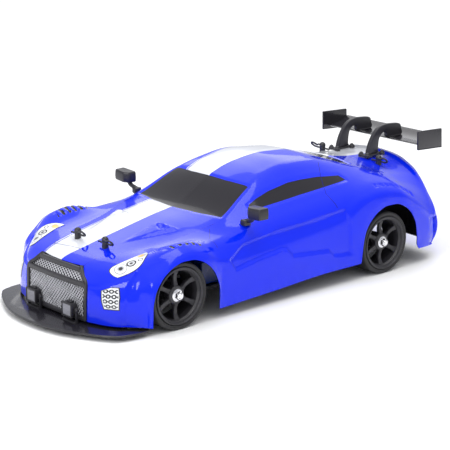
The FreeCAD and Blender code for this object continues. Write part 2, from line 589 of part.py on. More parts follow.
def lower_arm(x, outward, side, ends):
    """A broad lower arm: inner barrel, tapering blade, outer fork, its own outer pin and the shock's rod."""
    barrel = along(x - PIN_BLOCK_X + GAP, x + PIN_BLOCK_X - GAP, side * ARM_IN_Y, ARM_Z, 3.4)
    blade = plate([(x - 14, side * ARM_IN_Y), (x + 14, side * ARM_IN_Y), (x + 12, side * 58.4),
                   (x - 12, side * 58.4)], ARM_Z - 2.2, ARM_Z + 2.2)
    window = plate([(x - 8, side * 33), (x + 8, side * 33), (x + 6, side * 50), (x - 6, side * 50)], 10, 30)
    prongs = []
    for end in (1, -1):
        x0, x1 = x + end * 8.0, x + end * 12.0
        prongs.append(box(x0, x1, side * 57, side * ARM_OUT_Y, ARM_Z - 2.2, ARM_Z + 2.2))
        prongs.append(along(x0, x1, side * ARM_OUT_Y, ARM_Z, 3.2))
    top, low = shock_axis(x, outward, side, ends)
    reach = box(x + outward * 11, low.x + 2.5 * outward, low.y - 3.5, low.y + 3.5, ARM_Z - 2.2, ARM_Z + 2.2)
    arm = union(barrel, blade.cut(window), reach, *prongs)
    arm = arm.cut(along(x - 30, x + 30, side * ARM_IN_Y, ARM_Z, PIN_R + RUN))
    arm = arm.cut(along(x - 12, x + 12, side * ARM_OUT_Y, ARM_Z, PIN_R))
    pin = along(x - 12, x + 12, side * ARM_OUT_Y, ARM_Z, PIN_R)
    up = (top - low).normalize()
    reach_up = (top - low).Length * 0.72
    root = low - up * 1.0
    shaft = Part.makeCylinder(ROD_R, reach_up, root, up)
    return union(arm, shaft), pin


def carrier(x, side, steers):
    """The upright at the arm's end: a C for a steering knuckle, or a plain hub carrier."""
    barrel = along(x - 8 + GAP, x + 8 - GAP, side * ARM_OUT_Y, ARM_Z, 3.2)
    y0, y1 = side * CARRIER_WALL[0], side * CARRIER_WALL[1]
    if steers:
        wall = box(x - 7, x + 7, y0, y1, LUG_LOW[0], LUG_HIGH[1])
        low = box(x - 6, x + 6, y0, side * KINGPIN_Y, *LUG_LOW).fuse(
            rod(x, side * KINGPIN_Y, LUG_LOW[0], 5.5, LUG_LOW[1] - LUG_LOW[0], Z))
        high = box(x - 6, x + 6, y0, side * KINGPIN_Y, *LUG_HIGH).fuse(
            rod(x, side * KINGPIN_Y, LUG_HIGH[0], 5.5, LUG_HIGH[1] - LUG_HIGH[0], Z))
        kingpins = [rod(x, side * KINGPIN_Y, LUG_LOW[1], 1.8, 3.6, Z),
                    rod(x, side * KINGPIN_Y, LUG_HIGH[0] - 3.6, 1.8, 3.6, Z)]
        piece = union(barrel, wall, low, high, *kingpins)
        piece = piece.cut(across(x, y0 - side * 5, y1 + side * 1, AXLE_Z, 6.6))
    else:
        wall = box(x - 7, x + 7, y0, side * 66.5, ARM_Z - 2, AXLE_Z + 11)
        hub = across(x, side * 63, side * 84, AXLE_Z, 8.2)
        piece = union(barrel, wall, hub)
        piece = piece.cut(across(x, side * 50, side * 90, AXLE_Z, BEARING_R + RUN))
    return piece.cut(along(x - 10, x + 10, side * ARM_OUT_Y, ARM_Z, PIN_R + RUN))


def knuckle(x, side):
    """The steering knuckle: a hub on two kingpins, with its arm back to the track rod."""
    hub = across(x, side * 66.5, side * 84, AXLE_Z, 8.2)
    column = rod(x, side * KINGPIN_Y, LUG_LOW[1] + GAP, 4.6, LUG_HIGH[0] - LUG_LOW[1] - 2 * GAP, Z)
    arm = link_arm(x, side * KINGPIN_Y, TRACK_ROD_X, side * KNUCKLE_ARM_Y, 37.0, HORN_Z1, 3.2, 2.4)
    stud = rod(TRACK_ROD_X, side * KNUCKLE_ARM_Y, HORN_Z1, STUD_R, STUD_LENGTH, Z)
    piece = union(hub, column, arm, stud)
    piece = piece.cut(across(x, side * 60, side * 90, AXLE_Z, BEARING_R + RUN))
    for z in (LUG_LOW[1], LUG_HIGH[0] - 4.2):
        piece = piece.cut(rod(x, side * KINGPIN_Y, z, 1.8 + RUN, 4.2, Z))
    return piece


def axle_set(x, side):
    """Axle with its drive cup, two bearings, drive hexagon and flanged lock nut."""
    cup = across(x, side * 65.3, side * 71.6, AXLE_Z, 5.7)
    cup = cup.cut(across(x, side * 63, side * CUP_FLOOR_Y, AXLE_Z, 4.8))
    shaft = across(x, side * CUP_FLOOR_Y, side * 97.5, AXLE_Z, 2.5)
    bearings = []
    for y in (72.0, 79.0):
        ring = across(x, side * y, side * (y + 4), AXLE_Z, BEARING_R)
        bearings.append(ring.cut(across(x, side * y, side * (y + 4), AXLE_Z, 2.5)))
    drive_hex = prism(6, 12.0, x, min(side * HEX_Y, side * (HEX_Y + 4)), AXLE_Z, 4.0)
    drive_hex = drive_hex.cut(across(x, side * 80, side * 90, AXLE_Z, 2.5))
    flange = across(x, side * 92, side * 93, AXLE_Z, 5.6)
    nut = prism(6, 7.0, x, min(side * 93, side * 96.6), AXLE_Z, 3.6)
    nut = flange.fuse(nut).cut(across(x, side * 90, side * 98, AXLE_Z, 2.5))
    return [cup.fuse(shaft)] + bearings + [drive_hex, nut]


RIM_PROFILE = [(71.0, 22.6), (71.0, 26.2), (72.6, 26.2), (73.0, BEAD_R), (94.4, BEAD_R), (95.0, 26.2),
               (96.4, 26.2), (96.8, 24.8), (96.2, 23.6), (88.0, 22.6)]
TYRE_PROFILE = [(73.0, BEAD_R), (72.6, 26.2), (71.4, 27.0), (71.0, 28.6), (72.0, 30.4), (73.6, TYRE_R),
                (94.4, TYRE_R), (96.0, 30.5), (97.0, 28.8), (96.8, 26.8), (95.0, 26.2), (94.4, BEAD_R)]
SPOKES = 6


def ring(profile, x, side):
    """A profile of (y, radius) points turned about the axle."""
    loop = [Vector(x, side * y, AXLE_Z + r) for y, r in profile]
    face = Part.Face(Part.makePolygon(loop + loop[:1]))
    return face.revolve(Vector(x, 0, AXLE_Z), Y, 360)


def rim(x, side):
    """Barrel, hub and six spokes that curve inwards from the lip to the hub."""
    hub = across(x, side * 89, side * 92, AXLE_Z, 8.4)
    socket = across(x, side * 85, side * 89, AXLE_Z, 8.4)
    socket = socket.cut(prism(6, 12.1, x, min(side * 84, side * 89.0), AXLE_Z, 5.0))
    spoke_side = [(7.0, 92.0), (13.0, 90.2), (18.0, 90.6), (23.4, 93.6), (23.4, 90.0), (17.0, 87.0),
                  (12.0, 86.4), (7.0, 87.4)]
    loop = [Vector(x - 2.3, side * y, AXLE_Z + r) for r, y in spoke_side]
    one = Part.Face(Part.makePolygon(loop + loop[:1])).extrude(Vector(4.6, 0, 0))
    spokes = [turned(one, Vector(x, 0, AXLE_Z), Y, 360 / SPOKES * k + 90) for k in range(SPOKES)]
    piece = union(ring(RIM_PROFILE, x, side), hub, socket, *spokes)
    return piece.cut(across(x, side * 80, side * 99, AXLE_Z, 2.6))


SPRING_TURNS = 6
SPRING_STEPS = 12       # straight pieces in one turn
SPRING_R = SHOCK_R + 1.5
WIRE_R = 0.6
SPRING_START = 3.2      # below the shock's upper end, clear of its stem


def spring(x, outward, side, ends):
    """A coil round the shock, from its cap down to the arm's lug, bent from short straight pieces."""
    top, low = shock_axis(x, outward, side, ends)
    down = (low - top).normalize()
    height = (low - top).Length * 0.78 - SPRING_START
    pitch = height / SPRING_TURNS
    path = []
    for k in range(SPRING_TURNS * SPRING_STEPS + 1):
        a = 2 * math.pi * k / SPRING_STEPS
        path.append(Vector(SPRING_R * math.cos(a), SPRING_R * math.sin(a), pitch * k / SPRING_STEPS))
    way = (path[1] - path[0]).normalize()
    end_loop = Part.Wire(Part.makeCircle(WIRE_R, path[0], way))
    coil = Part.makePolygon(path).makePipeShell([end_loop], True, False, 1)
    coil.Placement = FreeCAD.Placement(top + down * SPRING_START, FreeCAD.Rotation(Z, down))
    return coil


for end, x, outward, ends in corners:
    for name, side in SIDES.items():
        corner = f"{end}_{name}"
        write(f"{corner}_arm", *lower_arm(x, outward, side, ends))
        write(f"{corner}_carrier", carrier(x, side, end == "front"))
        write(f"{corner}_axle", *axle_set(x, side))
        write(f"{corner}_rim", rim(x, side))
        write(f"{corner}_tyre", ring(TYRE_PROFILE, x, side))
        write(f"{corner}_spring", spring(x, outward, side, ends))
        if end == "front":
            write(f"{corner}_knuckle", knuckle(x, side))

# ---- drive line ------------------------------------------------------------------------


def spur(teeth, x0, x1, y, z, phase):
    """A straight gear along X with plain wedge teeth, a little narrower than their gaps."""
    pitch_r = teeth * GEAR_MODULE / 2
    root_r, tip_r = pitch_r - 0.75, pitch_r + 0.5
    loop = []
    for k in range(teeth):
        for share, r in ((-0.24, root_r), (-0.13, tip_r), (0.13, tip_r), (0.24, root_r)):
            a = 2 * math.pi * (k + share + phase) / teeth
            loop.append(Vector(x0, y + r * math.cos(a), z + r * math.sin(a)))
    return Part.Face(Part.makePolygon(loop + loop[:1])).extrude(Vector(x1 - x0, 0, 0))


def differential(x, crown_side):
    """Case, crown wheel, two outdrives and two drive shafts with ball ends, all on the axle line."""
    case = across(x, -crown_side * 9, crown_side * 4.2, AXLE_Z, 10.5)
    crown = across(x, crown_side * 4.2, crown_side * 8, AXLE_Z, 14.5)
    drives, shafts = [], []
    for side in (1, -1):
        drive = across(x, side * 8, side * 24, AXLE_Z, OUTDRIVE_R)
        drives.append(drive.cut(across(x, side * 17, side * 25, AXLE_Z, DRIVE_BALL_R + 0.3)))
        shaft = across(x, side * DRIVE_BALLS_Y[0], side * DRIVE_BALLS_Y[1], AXLE_Z, DRIVE_SHAFT_R)
        balls = [Part.makeSphere(DRIVE_BALL_R, Vector(x, side * y, AXLE_Z)) for y in DRIVE_BALLS_Y]
        shafts.append(union(shaft, *balls))
    return [union(case, crown, *drives)] + shafts


write("front_differential", *differential(FRONT_X, -1))
write("rear_differential", *differential(REAR_X, 1))

shaft_end = FRONT_X - 15.2
centre = along(-shaft_end, shaft_end, 0, AXLE_Z, SHAFT_R)
for end in (1, -1):
    centre = centre.fuse(along(end * (shaft_end - 0.1), end * (shaft_end + 3.4), 0, AXLE_Z, 3.7))
write("centre_shaft", centre.removeSplitter())
spur_gear = spur(SPUR_TEETH, SPUR_X, SPUR_X + 4, 0, AXLE_Z, 0.5)
write("spur_gear", spur_gear.cut(along(SPUR_X - 1, SPUR_X + 5, 0, AXLE_Z, SHAFT_R)))
pinion = spur(PINION_TEETH, SPUR_X, SPUR_X + 4.5, MOTOR_Y, AXLE_Z, 0.0)
write("motor_pinion", pinion.fuse(along(SPUR_X - 1, MOTOR_X0 + 5.5, MOTOR_Y, AXLE_Z, 1.6)).removeSplitter())

# ---- body clips ------------------------------------------------------------------------
CLIP_R = 0.75


def clip(px, py, pz, way):
    """A hairpin clip: a straight leg through the post and a wavy leg over it, joined by a loop."""
    z = pz - 5.0
    shape = [(-9.5, 0), (9.0, 0), (12.5, 1.5), (13.5, 4.2), (11.5, 6.6), (8.5, 6.0), (6.0, 3.0), (4.6, 4.2)]
    points = [(py + way * a, z + b) for a, b in shape]
    pieces = []
    for a, b in zip(points, points[1:]):
        pieces.append(bar((px, *a), (px, *b), CLIP_R))
        pieces.append(Part.makeSphere(CLIP_R, Vector(px, *b)))
    return union(*pieces)


for name, post in POSTS.items():
    write(f"{name}_clip", clip(*post, -1 if name == "rear_right" else 1))
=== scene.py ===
# %% [markdown]
# # A remote control drift car, about one tenth of full size
#
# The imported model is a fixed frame: wheels, arms, gears and fasteners already have their places and joints.
# This lesson puts the looks on it. The painted body shell, the wheels, the grille, the wing and the small
# fittings are made here as surfaces worked out with numpy, and every part left as it is gets its own finish.

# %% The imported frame
import math

import bpy
import numpy as np
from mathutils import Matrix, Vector


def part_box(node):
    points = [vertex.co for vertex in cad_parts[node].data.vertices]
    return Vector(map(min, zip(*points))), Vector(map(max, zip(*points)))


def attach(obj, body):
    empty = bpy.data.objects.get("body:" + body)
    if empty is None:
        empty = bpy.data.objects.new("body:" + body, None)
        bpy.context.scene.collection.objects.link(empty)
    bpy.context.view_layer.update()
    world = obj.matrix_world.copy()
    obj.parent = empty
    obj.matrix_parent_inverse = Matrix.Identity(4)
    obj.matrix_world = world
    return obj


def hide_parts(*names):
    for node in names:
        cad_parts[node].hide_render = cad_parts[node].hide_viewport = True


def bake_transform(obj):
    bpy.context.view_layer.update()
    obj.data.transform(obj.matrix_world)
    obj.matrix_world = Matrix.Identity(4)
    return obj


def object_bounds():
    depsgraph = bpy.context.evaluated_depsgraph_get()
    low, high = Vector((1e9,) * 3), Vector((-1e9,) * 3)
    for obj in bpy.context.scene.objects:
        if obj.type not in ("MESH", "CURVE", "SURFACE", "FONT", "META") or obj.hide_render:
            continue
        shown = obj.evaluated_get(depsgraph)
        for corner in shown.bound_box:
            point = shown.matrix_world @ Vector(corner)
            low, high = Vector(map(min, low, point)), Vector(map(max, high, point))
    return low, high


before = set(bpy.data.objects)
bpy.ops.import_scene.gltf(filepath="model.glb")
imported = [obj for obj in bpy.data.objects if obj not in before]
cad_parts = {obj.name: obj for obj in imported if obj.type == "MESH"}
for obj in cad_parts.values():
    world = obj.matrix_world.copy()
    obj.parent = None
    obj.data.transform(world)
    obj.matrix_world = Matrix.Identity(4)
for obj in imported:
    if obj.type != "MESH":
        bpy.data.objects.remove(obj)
cad_low, cad_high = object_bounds()
MM = 0.001


def centre(node):
    """The middle of a node's box, in metres."""
    low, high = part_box(node)
    return (np.array(low) + np.array(high)) / 2


FRONT_AXLE, REAR_AXLE = centre("front_left_tyre"), centre("rear_left_tyre")
MIDDLE_X = (FRONT_AXLE[0] + REAR_AXLE[0]) / 2
WHEELBASE = (FRONT_AXLE[0] - REAR_AXLE[0]) / MM
AXLE_Z = FRONT_AXLE[2] / MM
print("wheelbase", round(WHEELBASE, 1), "mm, axle height", round(AXLE_Z, 1), "mm")

# %% [markdown]
# ## Shapes as arrays
#
# Every piece is a grid of points: rows along it, columns round it. A drawing is easier to read in millimetres
# from the middle of the wheelbase, so shapes are worked out there, and one function turns them into metres
# in the frame. Shapes that touch in one piece are simply joined into one mesh.

# %% Helpers that turn grids of points into meshes
def unit(v):
    """Arrows of length one."""
    return v / np.maximum(np.linalg.norm(v, axis=-1, keepdims=True), 1e-12)


def grid_faces(rows, columns, ring=False, loop=False):
    """Four-cornered faces between neighbouring points; ring closes the columns, loop closes the rows."""
    index = np.arange(rows * columns).reshape(rows, columns)
    if ring:
        index = np.hstack([index, index[:, :1]])
    if loop:
        index = np.vstack([index, index[:1]])
    return np.stack([index[:-1, :-1], index[1:, :-1], index[1:, 1:], index[:-1, 1:]], -1).reshape(-1, 4)


def outward(points, faces):
    """Turns all faces round if the volume they enclose, the sum of a . (b x c) / 6, comes out negative."""
    volume = 0.0
    for group in faces:
        a = points[group[:, 0]]
        for k in range(1, group.shape[1] - 1):
            volume += (a * np.cross(points[group[:, k]], points[group[:, k + 1]])).sum()
    return faces if volume > 0 else [group[:, ::-1] for group in faces]


def closed(grid, loop=False):
    """A solid from rows of ring-shaped sections, with a flat cap at each end unless the rows form a loop."""
    rows, columns = grid.shape[:2]
    faces = [grid_faces(rows, columns, ring=True, loop=loop)]
    if not loop:
        first = np.arange(columns)
        faces += [first[None, :], (first + (rows - 1) * columns)[None, ::-1]]
    points = grid.reshape(-1, 3)
    return points, outward(points, faces)


def joined(*shapes):
    """Several shapes as one: the face numbers move on by the points before them."""
    points, faces, start = [], [], 0
    for p, f in shapes:
        points.append(p)
        faces += [group + start for group in f]
        start += len(p)
    return np.vstack(points), faces


def mirrored(shape):
    """The same shape on the other side of the car, turned right side out again."""
    points, faces = shape
    return points * (1, -1, 1), [group[:, ::-1] for group in faces]


def in_frame(points):
    """Drawing points, in millimetres from the middle of the wheelbase, as metres in the frame."""
    return (points * MM + (MIDDLE_X, 0, 0)).tolist()


def new_object(name, shape, material):
    """One object at the origin with a smooth mesh of one material."""
    points, faces = shape
    mesh = bpy.data.meshes.new(name)
    mesh.from_pydata(in_frame(points), [], [row for group in faces for row in group.tolist()])
    mesh.shade_smooth()
    mesh.materials.append(material)
    piece = bpy.data.objects.new(name, mesh)
    bpy.context.scene.collection.objects.link(piece)
    return piece


def new_piece(name, shape, material, body, node=None, sharp=35.0, values=None):
    """An object that rides on a body and replaces a CAD node, with sharp edges above an angle in degrees."""
    piece = new_object(name, shape, material)
    piece.data.set_sharp_from_angle(angle=math.radians(sharp))
    for label, numbers in (values or {}).items():
        piece.data.attributes.new(label, "FLOAT", "POINT").data.foreach_set("value", np.ravel(numbers))
    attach(piece, body)
    if node:
        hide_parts(node)
    print(name, len(piece.data.vertices), "points on", body)
    return piece


# %% [markdown]
# Three ways to make a solid cover almost everything: a profile turned about an axle, a section carried along
# a path, and a plate with rounded edges. The corners of a flat outline are rounded first with short curves.

# %% Turned, swept and plate shapes
def circle(radius, count=12):
    """Points round a circle: (r cos a, r sin a)."""
    a = np.arange(count) * 2 * math.pi / count
    return np.stack([radius * np.cos(a), radius * np.sin(a)], -1)


def rounded(corners, radius, steps=5):
    """An outline whose corners c become the curve a(1-t)^2 + 2ct(1-t) + bt^2 between their two sides."""
    c = np.asarray(corners, float)
    reach = []
    for other in (np.roll(c, 1, 0), np.roll(c, -1, 0)):
        side = other - c
        length = np.linalg.norm(side, axis=-1, keepdims=True)
        reach.append(c + side / length * np.minimum(radius, 0.49 * length))
    t = np.linspace(0, 1, steps)[None, :, None]
    curve = reach[0][:, None] * (1 - t)**2 + c[:, None] * 2 * t * (1 - t) + reach[1][:, None] * t**2
    return curve.reshape(-1, c.shape[-1])


def turned(profile, x, side, count=96, wave=None):
    """A closed profile of (y, radius) turned about the axle: (x + r sin a, side y, z + r cos a)."""
    y, r = np.asarray(profile, float).T
    a = np.arange(count)[:, None] * 2 * math.pi / count
    if wave is not None:
        r = r + wave(a, r)
    grid = np.stack([x + r * np.sin(a), side * y + 0 * a, AXLE_Z + r * np.cos(a)], -1)
    return closed(grid, loop=True)


def swept(path, section, up):
    """A section carried along a path: p + u side + v top, where side = way x up and top = side x way."""
    path = np.asarray(path, float)
    way = unit(np.gradient(path, axis=0))
    side = unit(np.cross(way, np.broadcast_to(up, path.shape)))
    top = np.cross(side, way)
    section = np.broadcast_to(section, (len(path),) + np.shape(section)[-2:])
    grid = path[:, None] + section[..., :1] * side[:, None] + section[..., 1:] * top[:, None]
    return closed(grid)


def plate(outline, low, high, edge=0.5, axes=(0, 1, 2)):
    """A plate between two heights with rounded rims: near a face the outline moves in along its normal.

    The height of a ring is low + e (1 - cos a) and its inset e (1 - sin a), for a from 0 to a right angle.
    """
    outline = np.asarray(outline, float)
    side = unit(np.roll(outline, -1, 0) - np.roll(outline, 1, 0))
    inward = np.stack([-side[:, 1], side[:, 0]], -1)
    area = (outline[:, 0] * np.roll(outline[:, 1], -1) - outline[:, 1] * np.roll(outline[:, 0], -1)).sum()
    inward = inward * np.sign(area)
    a = np.linspace(0, math.pi / 2, 4)
    inset = np.concatenate([edge * (1 - np.sin(a)), edge * (1 - np.sin(a[::-1]))])
    height = np.concatenate([low + edge * (1 - np.cos(a)), high - edge * (1 - np.cos(a[::-1]))])
    flat = outline[None] + inset[:, None, None] * inward[None]
    grid = np.zeros(flat.shape[:2] + (3,))
    grid[..., axes[0]], grid[..., axes[1]], grid[..., axes[2]] = flat[..., 0], flat[..., 1], height[:, None]
    return closed(grid)


def block(low, high, edge=0.6, radius=1.2, axes=(0, 1, 2)):
    """A block with rounded corners and rounded rims."""
    (a0, b0, c0), (a1, b1, c1) = np.array(low)[list(axes)], np.array(high)[list(axes)]
    corners = [(a0, b0), (a1, b0), (a1, b1), (a0, b1)]
    return plate(rounded(corners, radius, 4), c0, c1, edge, axes)


def smooth_line(points, steps=8, ends=True):
    """A smooth path through points, by Catmull and Rom's cubic: each span uses its neighbours' slopes."""
    p = np.asarray(points, float)
    p = np.vstack([2 * p[0] - p[1], p, 2 * p[-1] - p[-2]])
    t = np.linspace(0, 1, steps, endpoint=False)[None, :, None]
    a, b, c, d = (p[k:len(p) - 3 + k, None] for k in range(4))
    line = 0.5 * (2 * b + (c - a) * t + (2 * a - 5 * b + 4 * c - d) * t**2 + (3 * b - a - 3 * c + d) * t**3)
    return np.vstack([line.reshape(-1, p.shape[-1]), p[-2:-1]]) if ends else line.reshape(-1, p.shape[-1])


# %% [markdown]
# ## Finishes
#
# Moulded plastic, paint, rubber and metal differ in how rough they are and in the scale of their grain. One
# function makes the start of each finish: a shader with its fixed numbers set on it, a noise in the object's
# own space that varies the colour and the roughness a little, and a fine bump.

# %% The start of every finish
COAT_IOR, COAT_ROUGH, BROAD_GRAIN, BUMP_DEPTH = 1.36, 0.03, 28.0, 0.0005


def add(nodes, kind, **numbers):
    """A new shader node with its fixed numbers set on it; an underscore stands for a space in a name."""
    node = nodes.new("ShaderNode" + kind)
    for label, number in numbers.items():
        node.inputs[label.replace("_", " ")].default_value = number
    return node


def finish(name, colour, rough, metal=0.0, coat=0.0, grain=900.0, bump=0.03, swing=0.25, stretch=(1, 1, 1)):
    """A procedural finish: noise at the grain's scale changes colour by a share, roughness and height."""
    material = bpy.data.materials.new(name)
    material.use_nodes = True
    nodes, links = material.node_tree.nodes, material.node_tree.links
    shader = nodes["Principled BSDF"]
    shader.inputs["Metallic"].default_value = metal
    shader.inputs["Coat Weight"].default_value = coat
    shader.inputs["Coat Roughness"].default_value = COAT_ROUGH
    shader.inputs["Coat IOR"].default_value = COAT_IOR
    place, scaled = add(nodes, "TexCoord"), add(nodes, "Mapping", Scale=stretch)
    links.new(place.outputs["Object"], scaled.inputs["Vector"])
    fine, broad = (add(nodes, "TexNoise", Scale=scale, Detail=3.0) for scale in (grain, BROAD_GRAIN))
    for noise in (fine, broad):
        links.new(scaled.outputs["Vector"], noise.inputs["Vector"])
    tone = add(nodes, "MixRGB", Color1=(*[c * (1 - swing) for c in colour], 1),
               Color2=(*[min(c * (1 + swing), 1) for c in colour], 1))
    links.new(broad.outputs["Fac"], tone.inputs["Fac"])
    links.new(tone.outputs["Color"], shader.inputs["Base Color"])
    spread = add(nodes, "MapRange", To_Min=rough * 0.8, To_Max=min(rough * 1.25, 1.0))
    links.new(fine.outputs["Fac"], spread.inputs["Value"])
    links.new(spread.outputs["Result"], shader.inputs["Roughness"])
    height = add(nodes, "Bump", Strength=bump, Distance=BUMP_DEPTH)
    links.new(fine.outputs["Fac"], height.inputs["Height"])
    links.new(height.outputs["Normal"], shader.inputs["Normal"])
    return material


def part(material, kind):
    """The first node of a kind in a finish."""
    return next(n for n in material.node_tree.nodes if n.bl_idname == kind)


MOULDED = finish("moulded_black", (0.022, 0.021, 0.026), 0.38, bump=0.10, grain=1600)
SATIN = finish("splitter_black", (0.016, 0.015, 0.02), 0.22, coat=0.3, bump=0.04)
RIM = finish("rim_black", (0.026, 0.025, 0.03), 0.34, bump=0.05, grain=1400)
TYRE = finish("tyre_rubber", (0.017, 0.0165, 0.018), 0.55, bump=0.12, grain=700)
STEEL = finish("turned_steel", (0.62, 0.62, 0.64), 0.24, metal=1.0, bump=0.05, swing=0.1, stretch=(1, 12, 1))
CHROME = finish("plated_nut", (0.80, 0.80, 0.82), 0.16, metal=1.0, bump=0.03, swing=0.1)
WIRE = finish("spring_wire", (0.50, 0.50, 0.53), 0.3, metal=1.0, bump=0.06, swing=0.1)
MESH = finish("grille_mesh", (0.60, 0.60, 0.64), 0.33, metal=0.35, bump=0.05)
FOAM = finish("bumper_foam", (0.03, 0.03, 0.032), 0.95, bump=0.6, grain=420)
CAN = finish("motor_can", (0.42, 0.43, 0.46), 0.3, metal=1.0, bump=0.04, swing=0.1, stretch=(10, 1, 1))
WRAP = finish("battery_wrap", (0.012, 0.05, 0.30), 0.25, coat=0.5, bump=0.12, grain=160)
CASE = finish("electronics_case", (0.03, 0.03, 0.034), 0.5, bump=0.15, grain=1900)
ANODISED = finish("shock_aluminium", (0.05, 0.05, 0.056), 0.3, metal=0.8, bump=0.04)
BRASS = finish("pinion_brass", (0.66, 0.47, 0.18), 0.3, metal=1.0, bump=0.05, swing=0.12)
NYLON = finish("gear_nylon", (0.05, 0.05, 0.052), 0.45, bump=0.08)
print(len(bpy.data.materials), "plain finishes")

# %% [markdown]
# ## The body shell's lines
#
# A real shell is one sheet pulled over a mould, so it is one surface here. Eight lines run from the nose to
# the tail: the middle of the car, the crown of the bonnet and roof, the roof rail, the belt, the shoulder,
# the flank, the skirt and the hem. A point of a line is (s, x, y, z), where s counts the way along the middle
# of the car: x itself on top, then on down the nose and the tail.

# %% Lines of the shell, in millimetres from the middle of the wheelbase
MIDDLE = [(232, 197, 0, 9), (213, 196.5, 0, 28), (200, 195, 0, 42), (187, 188.5, 0, 55), (160, 160, 0, 62.5),
          (120, 120, 0, 71), (85, 85, 0, 78), (57, 57, 0, 83), (12, 13, 0, 106.5), (-15, -15, 0, 115.5),
          (-45, -45, 0, 119.5), (-75, -75, 0, 118), (-100, -100, 0, 112.5), (-135, -135, 0, 103),
          (-170, -170, 0, 97.5), (-200, -200, 0, 96.5), (-215, -217, 0, 98), (-235, -223, 0, 82),
          (-265, -226, 0, 45), (-298, -222, 0, 13)]
CROWN = [(232, 196, 24, 9), (200, 194.5, 24, 42), (187, 187.8, 18, 54.6), (160, 160, 23, 62.3),
         (120, 120, 26, 70.2), (85, 84.5, 28, 77.2), (57, 55.5, 30, 82.6), (12, 12, 27, 105.8),
         (-15, -15.4, 25, 114.7), (-45, -45, 24, 118.8), (-75, -75, 24, 117.2), (-100, -99, 25, 111.8),
         (-135, -134, 27, 102.3), (-170, -169, 28, 96.5), (-200, -199, 30, 95.2), (-215, -216, 31, 96),
         (-235, -222, 32, 82), (-265, -225.5, 34, 45), (-298, -221.5, 34, 13)]
RAIL = [(232, 194.5, 43.4, 9), (213, 193.8, 43.4, 28), (200, 193, 43.2, 41), (187, 186.4, 30, 53.9),
        (172, 173, 36.5, 59.5), (150, 152, 45, 63), (120, 122, 50.5, 66), (85, 83, 56, 73),
        (57, 51, 60.5, 82), (12, 10, 54, 103), (-15, -16, 50, 111), (-45, -45, 48, 115.3),
        (-75, -75, 48, 113.3), (-100, -99, 49, 108), (-135, -134, 51, 99), (-170, -169, 52, 91),
        (-200, -199, 53, 88), (-215, -213.5, 54, 87), (-235, -219, 56, 78), (-265, -224, 60, 45),
        (-298, -219.5, 60, 13)]
BELT = [(232, 186.5, 68, 8.7), (213, 187, 66, 28), (200, 184, 64, 42), (187, 178, 60, 54),
        (165, 160, 62, 60.5), (140, 139.6, 65, 65), (120, 121, 68, 67), (85, 85, 71, 71),
        (57, 57, 72.5, 76), (12, 12, 74, 87),
        (-45, -45, 75, 93), (-75, -75, 75, 95), (-100, -99, 74, 96), (-135, -135, 71, 94.5),
        (-170, -169, 69, 88), (-200, -198, 68, 81), (-215, -211, 68, 78), (-235, -216, 71, 66),
        (-265, -221, 77, 42), (-298, -217, 77, 13.5)]
SHOULDER = [(232, 173, 84, 8.5), (213, 173, 83, 28), (200, 170, 81.5, 42), (187, 163, 80.5, 53),
            (165, 152, 82, 64), (140, 137, 84, 72.5), (120, 119, 85, 75.5), (100, 101, 86, 73),
            (85, 85, 87.5, 69.5), (57, 57, 88.5, 69.5), (12, 12, 89, 74), (-45, -45, 89, 79.5),
            (-75, -75, 89, 83), (-100, -99, 89, 88), (-125, -123, 88.5, 90.5), (-150, -147, 88.5, 87.5),
            (-170, -169, 88.5, 78), (-200, -196, 87, 64), (-215, -206, 86.5, 58), (-235, -212, 88.5, 50),
            (-265, -216, 90, 32), (-298, -209, 89, 14.5)]
FLANK = [(232, 164, 93, 8.3), (213, 165, 92.5, 25), (200, 165, 92, 38), (187, 162, 92.5, 48),
         (165, 149, 94, 60), (140, 134, 95.5, 68.5), (120, 117, 96, 70.5), (100, 99, 96, 65.5),
         (85, 83, 95.5, 57), (57, 57, 95, 54), (12, 12, 95, 56), (-45, -45, 95, 60), (-75, -75, 96, 66),
         (-100, -99, 97.5, 80), (-125, -123, 98, 84), (-150, -147, 98, 80.5), (-170, -169, 97.5, 68),
         (-200, -194, 95.5, 48), (-235, -204, 94, 38), (-298, -200, 93.5, 15)]
SKIRT = [(232, 163, 95.5, 8.2), (213, 164, 96.5, 25), (187, 162, 97, 43), (165, 151, 97.5, 55),
         (140, 135, 98.5, 65), (120, 118, 98.5, 66.5), (100, 100, 98.5, 60), (87, 86, 98, 45),
         (80, 80, 97.5, 39), (57, 57, 97, 38),
         (12, 12, 97, 39), (-45, -45, 97, 40), (-75, -75, 98, 42), (-90, -91, 99, 51), (-106, -106, 99.5, 68),
         (-130, -129, 99.7, 76), (-155, -152.5, 99.5, 71.5), (-178, -173, 98.5, 52), (-200, -184, 97.5, 37),
         (-235, -190, 96.8, 27), (-298, -189, 96, 15.7)]
FRONT_ARCH, REAR_ARCH, LIP_Y = (124.0, 24.5, 38.5), (-134.6, 31.0, 38.5), 99.5
FRONT_ARCH_ROWS = {213: 0, 187: 20, 165: 42, 150: 56, 140: 70, 130: 84, 120: 98, 110: 112, 100: 128, 92: 145,
                   87: 170}
REAR_ARCH_ROWS = {-90: 0, -97: 25, -106: 45, -117: 63, -130: 82, -143: 100, -155: 118, -165: 137, -178: 160,
                  -200: 180}


def lip(arch, rows):
    """The edge of a wheel opening as points of the hem line: (x + r cos a, z + r sin a)."""
    x, z, r = arch
    turn = {s: math.radians(a) for s, a in rows.items()}
    return [(s, x + r * math.cos(a), LIP_Y, z + r * math.sin(a)) for s, a in turn.items()]


